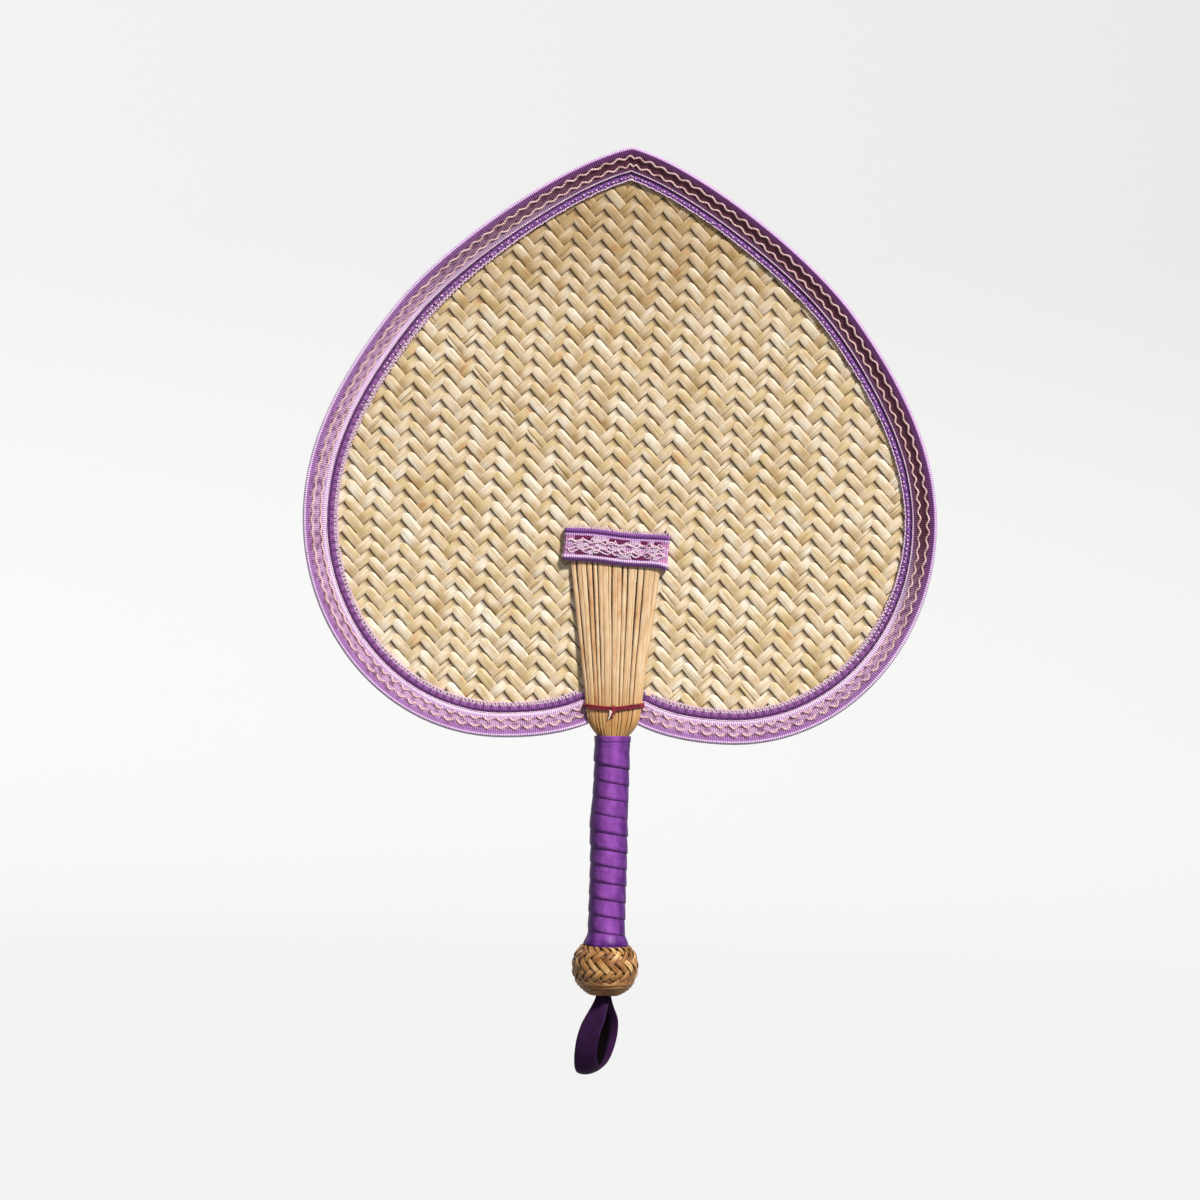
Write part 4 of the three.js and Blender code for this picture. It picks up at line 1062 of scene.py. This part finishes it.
# Section of a band by dye, from its picot edge down: height on the band, lift off its under face
BAND_SECTION = [
    (BAND_PURPLE, (6.35, 0.1), (6.5, 0.45), (6.3, 0.85), (5.8, 1.0), (5.2, 0.95)),
    (BAND_DEEP, (4.85, 0.65), (4.55, 0.6)),
    (BAND_PURPLE, (4.25, 0.95)),
    (BAND_LILAC, (3.9, 1.1), (3.5, 1.0)),
    (BAND_MAUVE, (3.2, 0.8), (2.2, BAND_FACE), (1.2, BAND_FACE)),
    (BAND_LILAC, (0.2, BAND_FACE)),
    (BAND_MAUVE, (-0.8, BAND_FACE)),
    (BAND_LILAC, (-1.8, BAND_FACE)),
    (BAND_MAUVE, (-2.8, BAND_FACE), (-3.8, BAND_FACE), (-4.6, 0.8)),
    (BAND_LILAC, (-5.0, 1.15)),
    (BAND_PALE, (-5.5, 1.3)),
    (BAND_LILAC, (-6.0, 1.15)),
    (BAND_PURPLE, (-6.3, 0.8)),
    (BAND_DEEP, (-6.9, 0.75)),
    (BAND_PURPLE, (-7.4, 0.6), (-7.5, 0.3), (-7.2, 0.05), (0.0, 0.0)),
]

# Work on a band, in millimetres from its left end: crimson dashes and blocks of upright floss by row
DASH_ROWS = (
    (2.55, ((3.6, 11.2), (18.6, 26.6), (32.0, 35.0), (37.4, 40.6))),
    (-3.85, ((4.6, 9.6), (12.0, 22.6), (28.6, 36.4))),
)
BLOCK_ROWS = (
    (2.45, 2.1, ((11.6, 18.0), (27.4, 31.4), (35.4, 37.0))),
    (-0.5, 2.0, ((5.4, 9.4), (12.6, 16.8), (19.8, 25.2), (28.2, 31.6), (34.4, 38.6))),
    (-3.75, 2.1, ((9.9, 11.7), (23.0, 27.8), (37.0, 39.6))),
)

# Looped floss on a band: level, length and size of a loop, and where the first one starts
LOOP_ROWS = ((1.6, 4.6, 0.8, 0.3), (-0.9, 5.2, 0.9, 1.6), (-3.0, 4.4, 0.7, 2.4))


def band_path():
    """The band's line over the splints, with both ends turned down to the straw."""
    half = BAND_LENGTH / 2
    corner = [(half, 1.25), (half, 2.4), (half - 0.15, 3.0), (half - 0.55, 3.45), (half - 1.3, BAND_UNDER)]
    across = linspace(half - 2.5, -half + 2.5, 60)
    flat = [(x, BAND_UNDER + 0.12 * math.cos(pi * x / (2 * half))) for x in across]
    return array(corner + flat + [(-x, y) for x, y in corner[::-1]])


def band_places(path, along, height, lift, facing):
    """Points on the band: so far along its path, so high on it, and so far off its under face."""
    run = run_length(path)
    ways = directions(path)
    square = stack([-ways[:, 1], ways[:, 0]], -1)
    square *= np.sign(square[len(square) // 2, 1])
    x, front = (interp(along, run, p) + lift * interp(along, run, s) for p, s in zip(path.T, square.T))
    tilt = radians(BAND_TILT_DEG)
    sag = 0.25 * sin(along * 0.21 + 0.8)
    corner = smoothstep(-height, -1, 7) * np.exp(-clip(along - 2, 0, None) / 2.4)
    z = height + sag - 0.9 * corner
    across = x * math.cos(tilt) + z * math.sin(tilt) + FAN_TOP_SHIFT
    up = -x * math.sin(tilt) + z * math.cos(tilt) + BAND_Z
    return stack([across, -facing * front, up], -1)


def band(facing, tape, rose, crimson, floss, picot):
    """A short length of the tape across the splints, worked in crimson, rose and pale floss."""
    side = SIDE_NAMES[facing]
    path = band_path()
    run = run_length(path)
    total = run[-1]
    spare = (total - BAND_LENGTH) / 2
    along = np.unique(concatenate([run, linspace(0, total, 90)]))
    height, lift, tint = columns(BAND_SECTION)
    bag = Bag()
    rings = band_places(path, along[:, None], height[None], lift[None], facing)
    bag.sweep(rings, run=along[:, None], inset=height + 20, dye=tint)
    made = bag.piece(f"{side}_band_tape", tape)
    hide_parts(f"{side}_band")

    def worked(stretch):
        """A stretch given from the band's left end, as lengths along its path."""
        return total - spare - stretch[1], total - spare - stretch[0]

    def thread(bag, line, level, rise, radius):
        bow = sin(linspace(0, pi, len(line))) ** 0.5
        sweep_thread(bag, band_places(path, line, level, BAND_FACE + rise * bow, facing), radius)

    waves = Bag()
    for level, phase in BAND_WAVES:
        line = linspace(spare + 0.8, total - spare - 0.8, 110)
        swing = 0.6 * sin(tau * line / WAVE_LENGTH + phase + wander(110, 12, 0.6))
        thread(waves, line, level + swing, 0.42, BAND_WAVE_RADIUS)
    waves.piece(f"{side}_band_waves", rose)
    dashes = Bag()
    for level, stretches in DASH_ROWS:
        for stretch in stretches:
            for row in (0.5, 0.0, -0.5):
                line = linspace(*worked(stretch), 24) + rng.normal(0, 0.2)
                thread(dashes, line, level + row + rng.normal(0, 0.05), 0.22, DASH_RADIUS)
    dashes.piece(f"{side}_band_dashes", crimson)
    blocks = Bag()
    for level, tall, stretches in BLOCK_ROWS:
        for stretch in stretches:
            for at in arange(*worked(stretch), FLOSS_PITCH):
                reach_up = tall * rng.uniform(0.86, 1.08)
                line = at + linspace(-0.06, 0.06, 8) + rng.normal(0, 0.04)
                levels = level + linspace(-0.5, 0.5, 8) * reach_up + rng.normal(0, 0.08)
                thread(blocks, line, levels, 0.36, FLOSS_RADIUS)
    for level, length, size, phase in LOOP_ROWS:
        line = linspace(spare + 1.0, total - spare - 1.0, 150)
        turn = tau * line / length + phase + wander(150, 10, 0.9)
        loops = line + 0.45 * cos(turn) + wander(150, 20, 0.2)
        levels = level + size * sin(turn) * (1 + wander(150, 12, 0.25))
        thread(blocks, loops, levels, 0.5, FLOSS_RADIUS)
    blocks.piece(f"{side}_band_floss", floss)
    picots = Bag()
    across, rise = cos(PICOT_TURN), sin(PICOT_TURN)
    for at in arange(2.4, total - 2.0, BAND_PICOT_PITCH):
        line = at + 0.6 * across + rng.normal(0, 0.05)
        level = 6.25 + (1.3 + rng.normal(0, 0.1)) * rise
        places = band_places(path, line, level, 0.55 - 0.1 * clip(rise, 0, 1), facing)
        sweep_thread(picots, places, BAND_PICOT_RADIUS, sides=5)
    picots.piece(f"{side}_band_picots", picot)


# Tie


def tie_path():
    """Two turns round the bundle, level but for a dip at the knot."""
    turns = linspace(0.5, 2.5, 640)
    turn = tau * turns
    front = cos(turn) * TIE_DEPTH + np.tanh(6 * cos(turn)) * TIE_BASE
    dip = np.where(cos(turn) > 0, 1 - abs(sin(turn)), 0)
    x = sin(turn) * TIE_HALF_WIDTH
    z = TIE_Z + 0.95 * (1.5 - turns) - 1.5 * dip + 0.06 * x
    return stack([x, -front, z], -1)


def tie(look, fibre):
    """Two turns of twisted red thread, a small knot in front, its cut ends and a frayed one."""
    bag = Bag()
    twist_plies(bag, tie_path(), TIE_RADIUS, 2, TIE_LAY, (0, 0, 1))
    turn = linspace(0, tau * 1.6, 60)
    for shift in (-0.35, 0.55):
        x = -0.4 + shift + 0.35 * sin(turn * 0.5)
        y = KNOT_Y + 0.1 - 0.55 * cos(turn)
        z = TIE_Z - 1.4 + 1.05 * sin(turn)
        sweep_thread(bag, stack([x, y, z], -1), KNOT_RADIUS, (1, 0, 0))
    t = linspace(0, 1, 16)
    for lean, length in ((-0.25, 3.4), (0.45, 2.6)):
        tail = stack([-0.3 + lean * 2 * t, KNOT_Y - 0.5 * sin(2.6 * t), TIE_Z - 1.7 - length * t], -1)
        sweep_thread(bag, tail, TAIL_RADIUS, (1, 0, 0))
    made = bag.piece("tie_thread_twist", look)
    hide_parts("tie_thread")
    frayed = Bag()
    t = linspace(0, 1, 22)
    for k in range(3):
        spread = 0.8 * k - 0.9 + rng.normal(0, 0.15)
        x = -1.5 + 0.12 * k + spread * t + 0.3 * sin(3 * t + k)
        y = KNOT_Y - 0.1 - 0.5 * sin(pi * t) + 0.2 * t
        z = TIE_Z - 1.8 - (4.4 - 0.7 * k) * t
        sweep_thread(frayed, stack([x, y, z], -1), FRAY_RADIUS, (1, 0, 0))
    frayed.piece("tie_frayed_end", fibre)


# Handle


def ribbon_section(thick, count=9):
    """A flat ribbon with rounded edges, as (share across, offset) pairs."""
    across = linspace(-1, 1, count)
    edge = np.where(abs(across) > 0.99, 0.25, 0.5) * thick
    return concatenate([stack([across, edge], -1), stack([across, -edge], -1)[::-1]])


def grip_swell(z):
    return interp(z, *zip(*GRIP_SWELL))


def wrap(look):
    """One ribbon wound over itself up the grip, with a level collar at each end and a flare over the knob."""
    bag = Bag()
    across, offset = ribbon_section(WRAP_THICK).T
    reverse = offset < 0
    turns = (GRIP_TOP - GRIP_FOOT - WRAP_START) / WRAP_PITCH
    count = int(turns * 72)
    turn = pi + linspace(0, tau * turns, count)[:, None]
    middle = GRIP_TOP - WRAP_START - WRAP_PITCH * (turn - pi) / tau
    lower = 0.5 - 0.5 * across
    z = middle + across * WRAP_WIDTH / 2 + wander(count, 14, 0.08)[:, None] * (lower - 0.4)
    lift = 0.1 + 0.75 * lower + 0.12 * sin(pi * lower) + offset
    lift = lift + wander(count, 9, 0.025)[:, None] * lower
    flare = 1.7 * smoothstep(-z, -GRIP_FOOT - 5.5, -GRIP_FOOT + 1) ** 2
    spun = turned(WRAP_INNER + lift + flare + grip_swell(middle), turn, z)
    spun[..., 0] -= 0.5 * hump(z, 8, 8)
    spun[..., 2] = clip(z, GRIP_FOOT - 0.1, GRIP_TOP + 0.35)
    # painted light: the ribbon is paler at the front and back of the grip and darker at its sides
    bag.sweep(spun, run=turn * WRAP_INNER, across=across, reverse=reverse, worn=cos(turn) ** 4)
    turn = linspace(0, tau, 97)[:-1, None]
    share = (across + 1) / 2
    for top, foot, low, high, spread, tip in COLLARS:
        height = foot + (top - foot) * share
        tilt = 0.28 * sin(turn + 1.1) * tip
        level = height + tilt * (0.5 + 0.5 * across) + 0.05 * sin(5 * turn)
        bulge = spread * smoothstep(-height, -GRIP_FOOT - 6.5, -GRIP_FOOT) ** 1.6
        fold = 0.05 * sin(9 * turn + 2) * share + 0.04 * sin(4 * turn) * share
        lift = low + (high - low) * share + offset
        radius = WRAP_INNER + lift + bulge + fold + grip_swell((top + foot) / 2)
        # painted shade on the foot of the flare over the knob
        painted_lit = smoothstep(height, GRIP_FOOT + 0.5, GRIP_FOOT + 5) if spread else 1
        worn = cos(turn) ** 4 * painted_lit
        hoop = turned(radius, turn, level)
        bag.sweep(hoop, looped=True, run=turn * WRAP_INNER, across=across, reverse=reverse, worn=worn)
    made = bag.piece("grip_ribbon", look)
    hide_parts("handle_wrap")


def knob_meridian():
    """The knob's outline from its shoulder round to its foot: radius and height."""
    z = KNOB_TOP + (KNOB_FOOT - KNOB_TOP) * (1 - cos(linspace(0, pi, 200))) / 2
    rise = abs(z - KNOB_MIDDLE) / KNOB_HALF_HEIGHT
    radius = KNOB_RADIUS * clip(1 - rise ** KNOB_FULLNESS, 0, 1) ** (1 / KNOB_FULLNESS)
    shoulder = array([(6.8, KNOB_TOP - 0.1), (8.4, KNOB_TOP - 0.1)])
    return concatenate([shoulder, stack([radius, z], -1)])


def knob(look):
    """Straw strips plaited slantwise over the bead, and a few turns laid level round its foot."""
    meridian = knob_meridian()
    run = run_length(meridian)

    def on_knob(share):
        """Radius and height at a share of the outline."""
        return (interp(share * run[-1], run, column) for column in meridian.T)

    bag = Bag()
    share = linspace(0, KNOB_PLAIT_SHARE, KNOB_ROWS * 6 + 1)
    step = share / KNOB_PLAIT_SHARE * KNOB_ROWS
    radius, height = on_knob(share)
    out = unit(stack([-np.gradient(height), np.gradient(radius)], -1))
    # painted shade: the plait is darker towards the knob's foot, through the value that darkens the straw
    low = smoothstep(-height, -KNOB_MIDDLE, -KNOB_FOOT)[:, None]
    across, crown = strip_section(-0.5, 0.5, 0.2).T
    for way in (1, -1):
        lift = 0.62 * soften(cos((step - 1.5) * pi / 2) * way, 0.8)
        rise = (lift[:, None] + crown - 0.8)[..., None]
        for number in range(KNOB_STRIPS):
            turn = pi * (2 * number + way * step) / KNOB_STRIPS + wander(len(share), 20, 0.014)
            path = turned(radius, turn, height)
            normal = turned(out[:, 0], turn, out[:, 1])
            side = unit(np.cross(directions(path), normal))
            width = clip(tau * radius / KNOB_STRIPS * 0.6, 0.7, 2.9) * rng.uniform(0.8, 1.1)
            sideways = (across * width[:, None])[..., None]
            rings = path[:, None] + sideways * side[:, None] + rise * normal[:, None]
            along = (run_length(path) + 40)[:, None]
            bag.sweep(rings, tone=rng.random(), along=along, across=2 * across, age=low)
    turn = linspace(0, tau, 73)[:-1, None]
    thick, tall = (round_section(1.0, 9) * (0.5, 0.86)).T
    for level in KNOB_HOOPS:
        r, z = on_knob(level)
        r -= 0.35
        radius = r + thick + 0.08 * sin(4 * turn + 30 * level)
        rings = turned(radius, turn, z + tall + 0.14 * sin(3 * turn + 9 * level))
        # the turns round the knob's foot get nearly full painted shade
        bag.sweep(rings, looped=True, tone=rng.random(), along=turn * r, across=tall, age=0.9)
    made = bag.piece("knob_plait", look)
    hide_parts("knob_cover")


# Hang loop


def loop_line(count):
    """The ribbon's line from the knob, down one side, and up the other: across and down."""
    rest = LOOP_LENGTH - 0.4 - LOOP_BELLY_DOWN
    half, belly = LOOP_HALF_WIDTH, LOOP_BELLY_DOWN
    foot = belly + rest
    upper = bezier([(0.55, -3.0), (0.35 * half, 0.3 * belly), (half, 0.55 * belly), (half, belly)], 60)
    lower = bezier([(half, belly), (half, belly + 0.55 * rest), (0.55 * half, foot), (0, foot)], 60)
    side = concatenate([upper, lower[1:]])
    return even_stations(concatenate([side, (side * (-1, 1))[::-1][1:]]), count)


def hang_loop(look):
    """A ribbon loop that hangs from the knob: flat at its belly, gathered at its neck."""
    line, run = loop_line(120)
    down = clip(line[:, 1], 0, None)
    turn = radians(LOOP_TURN_DEG)
    sideways = array([math.cos(turn), math.sin(turn), 0])
    widthways = array([math.sin(turn), -math.cos(turn), 0])
    lean = math.tan(radians(LOOP_LEAN_DEG)) * down
    path = np.outer(line[:, 0], sideways) - np.outer(lean, widthways)
    path[:, 2] = LOOP_AXIS_Z - line[:, 1]
    ways = directions(line)
    normal = np.outer(ways[:, 1], sideways) - np.outer(-ways[:, 0], [0, 0, 1])
    across, offset = ribbon_section(LOOP_THICK, 13).T
    gather = smoothstep(line[:, 1], -2, 11)[:, None]
    width = LOOP_NECK + (LOOP_WIDTH / 2 - LOOP_NECK) * gather
    fold = (1 - gather) * 0.5 * sin(across * 4.5)
    crease = 0.14 * sin(0.35 * run + 1.3)[:, None] * sin(2.2 * across + 0.5)
    lift = (offset + fold + crease)[..., None]
    rings = path[:, None] + (across * width)[..., None] * widthways + lift * normal[:, None]
    rings[..., 2] += (0.055 * across + 0.05 * across ** 2) * down[:, None]
    bag = Bag()
    # a fixed share of painted light on the loop's face
    bag.sweep(rings, run=run[:, None], across=across, reverse=offset <= 0, worn=0.35)
    made = bag.piece("hang_ribbon", look, body=None)
    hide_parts("hang_loop", "loop_anchor")
    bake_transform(made)


# Stage, light and camera


def stage():
    """A pale floor that sweeps up all round."""
    edge = FLOOR_FLAT + FLOOR_SWEEP
    profile = [(0.0, 0.0), (0.8, 0.0), (1.6, 0.0), (FLOOR_FLAT, 0.0)]
    for a in linspace(0.1, pi / 2, 12):
        profile.append((FLOOR_FLAT + FLOOR_SWEEP * math.sin(a), FLOOR_SWEEP - FLOOR_SWEEP * math.cos(a)))
    profile += [(edge, FLOOR_TOP - 1), (edge, FLOOR_TOP)]
    sides, n = 96, len(profile)
    points, faces = [], []
    for k in range(sides):
        turn = tau * k / sides
        points += [(r * math.cos(turn), r * math.sin(turn), FLOOR_Z * MM + z) for r, z in profile]
        a, b = k * n, ((k + 1) % sides) * n
        faces += [(a + i, b + i, b + i + 1, a + i + 1) for i in range(n - 1)]
    mesh = bpy.data.meshes.new("pale_floor")
    mesh.from_pydata(points, [], faces)
    mesh.shade_smooth()
    glow = {"Emission Color": (1.0, 1.0, 1.0, 1.0), "Emission Strength": 0.63}
    look = Look("pale floor paint", {"Specular IOR Level": 0.1, **glow})
    speck = look.noise(look.node("ShaderNodeTexCoord", {}, {}, "Object"), 60.0)
    look.finish(look.dim(dye(126, 126, 126), 0.985 + speck * 0.03), 0.85 + speck * 0.1, speck, 0.0002)
    mesh.materials.append(look.material)
    floor = add("pale_floor", mesh)
    floor.visible_diffuse = False


def aim(made, right, up, back, eye):
    made.matrix_world = Matrix([[right[k], up[k], back[k], eye[k]] for k in range(3)] + [[0, 0, 0, 1]])


def sun(name, way, strength, softness_deg, tint):
    light = bpy.data.lights.new(name, "SUN")
    light.energy = strength
    light.angle = radians(softness_deg)
    light.color = tint
    back = unit(array(way))
    side = unit(np.cross((0, 0, 1), back))
    aim(add(name, light), side, np.cross(back, side), back, (0, 0, 0))


def lights():
    """A key from above, to the right and in front, a weak light behind, and a pale room."""
    sun("key light", (0.42, -0.62, 0.68), 4.35, 8, (1.0, 0.985, 0.96))
    sun("back light", (-0.55, 0.62, 0.56), 2.0, 20, (1.0, 1.0, 1.0))
    world = bpy.data.worlds.new("pale room")
    world.use_nodes = True
    room = world.node_tree.nodes["Background"]
    room.inputs["Color"].default_value = (0.96, 0.98, 1.0, 1.0)
    room.inputs["Strength"].default_value = 0.24
    bpy.context.scene.world = world
    bpy.context.scene.view_settings.view_transform = "Standard"


def camera():
    """Square on to the fan's front, rolled so that the fan leans as in the photograph."""
    lens = bpy.data.cameras.new("camera")
    lens.sensor_width = SENSOR
    lens.lens = SENSOR * CAMERA_DISTANCE / FRAME_WIDTH
    lens.clip_end = 50
    made = add("camera", lens)
    lean = radians(FAN_LEAN_DEG)
    right = (math.cos(lean), 0, math.sin(lean))
    up = (-math.sin(lean), 0, math.cos(lean))
    eye = (FRAME_CENTRE[0] * MM, -CAMERA_DISTANCE * MM, FRAME_CENTRE[1] * MM)
    aim(made, right, up, (0, -1, 0), eye)
    bpy.context.scene.camera = made


# Assembly

camera()
stage()
lights()

straw = straw_look(
    "woven straw",
    [(0.0, 248, 238, 220), (0.3, 240, 222, 192), (0.52, 230, 205, 168)]
    + [(0.7, 218, 198, 146), (0.85, 228, 190, 146), (1.0, 208, 164, 112)],
    dark=dye(178, 142, 90),
    gloss=0.36,
    slit_share=0.13,
    edge_painted_shade=0.72,
    aged=(0.56, 0.45, 0.3, 1.0),
)
slat_straw = straw_look(
    "splint straw",
    [(0.0, 238, 211, 174), (0.4, 229, 194, 150), (0.75, 220, 174, 126), (1.0, 200, 142, 86)],
    dark=dye(170, 122, 70),
    gloss=0.42,
    slit_share=0.17,
    edge_painted_shade=0.6,
    aged=(0.78, 0.61, 0.36, 1.0),
)
# dark straw for the sheet in painted shade behind the slits
shade_sheet_straw = straw_look(
    "straw in painted shade",
    [(0.0, 124, 94, 54), (1.0, 92, 66, 34)],
    dark=dye(70, 48, 24),
    gloss=0.6,
    slit_share=0.1,
    edge_painted_shade=0.0,
    aged=(0.8, 0.8, 0.8, 1.0),
)
knob_straw = straw_look(
    "knob straw",
    [(0.0, 236, 196, 136), (0.4, 184, 132, 70), (0.75, 146, 94, 42), (1.0, 106, 60, 18)],
    dark=dye(92, 54, 20),
    gloss=0.4,
    slit_share=0.2,
    edge_painted_shade=0.9,
    aged=(0.55, 0.43, 0.28, 1.0),
)
tape = tape_look()
satin = satin_look(
    "purple satin", dye(60, 8, 92), dye(152, 80, 176), dye(34, 20, 40), dye(34, 20, 40), 0.36, 0.14
)
dull_satin = satin_look(
    "dull purple satin", dye(38, 13, 44), dye(58, 28, 72), dye(12, 5, 8), dye(66, 34, 76), 0.55, 0.06
)
rose_thread = thread_look("rose thread", dye(240, 202, 200), dye(198, 146, 146))
pink_thread = thread_look("pink thread", dye(250, 212, 224), dye(206, 150, 178))
lilac_thread = thread_look("lilac thread", dye(244, 214, 230), dye(210, 164, 206))
seam_thread = thread_look("seam thread", dye(112, 58, 130), dye(70, 30, 84))
crimson_thread = thread_look("crimson thread", dye(126, 24, 84), dye(80, 14, 58))
floss_thread = thread_look("pale floss", dye(246, 218, 240), dye(186, 148, 196))
red_thread = thread_look("red thread", dye(154, 18, 50), dye(100, 10, 32))
pale_fibre = thread_look("pale fibre", dye(248, 236, 218), dye(234, 212, 180), 0.00004)
cane = cane_look("split cane", dye(190, 150, 92), dye(128, 92, 48))
cane_in_painted_shade = cane_look("cane in painted shade", dye(74, 40, 10), dye(46, 24, 6))

weave = weave_strips("falling_strips", False, straw)
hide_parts("blade")
weave_strips("rising_strips", True, straw)
weave_shade_sheet(shade_sheet_straw)

rim = Rim(1.0)
rim_tape(rim, tape)
rim_waves(Rim(0.5), rose_thread)
rim_flecks(rim, lilac_thread)
for facing in (1, -1):
    rim_picots(rim, lilac_thread, facing)
    rim_stitches(rim, seam_thread, facing)

for facing in (1, -1):
    splints(facing, slat_straw)
    band(facing, tape, pink_thread, crimson_thread, floss_thread, lilac_thread)

tie(red_thread, pale_fibre)
wrap(satin)
knob(knob_straw)
hang_loop(dull_satin)

# The knob's bead shows only in the gaps of the plait, so it gets cane in painted shade.
for node, look in (("rim_cane", cane), ("handle_core", cane), ("knob_bead", cane_in_painted_shade)):
    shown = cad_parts[node]
    shown.data.materials.clear()
    shown.data.materials.append(look.material)
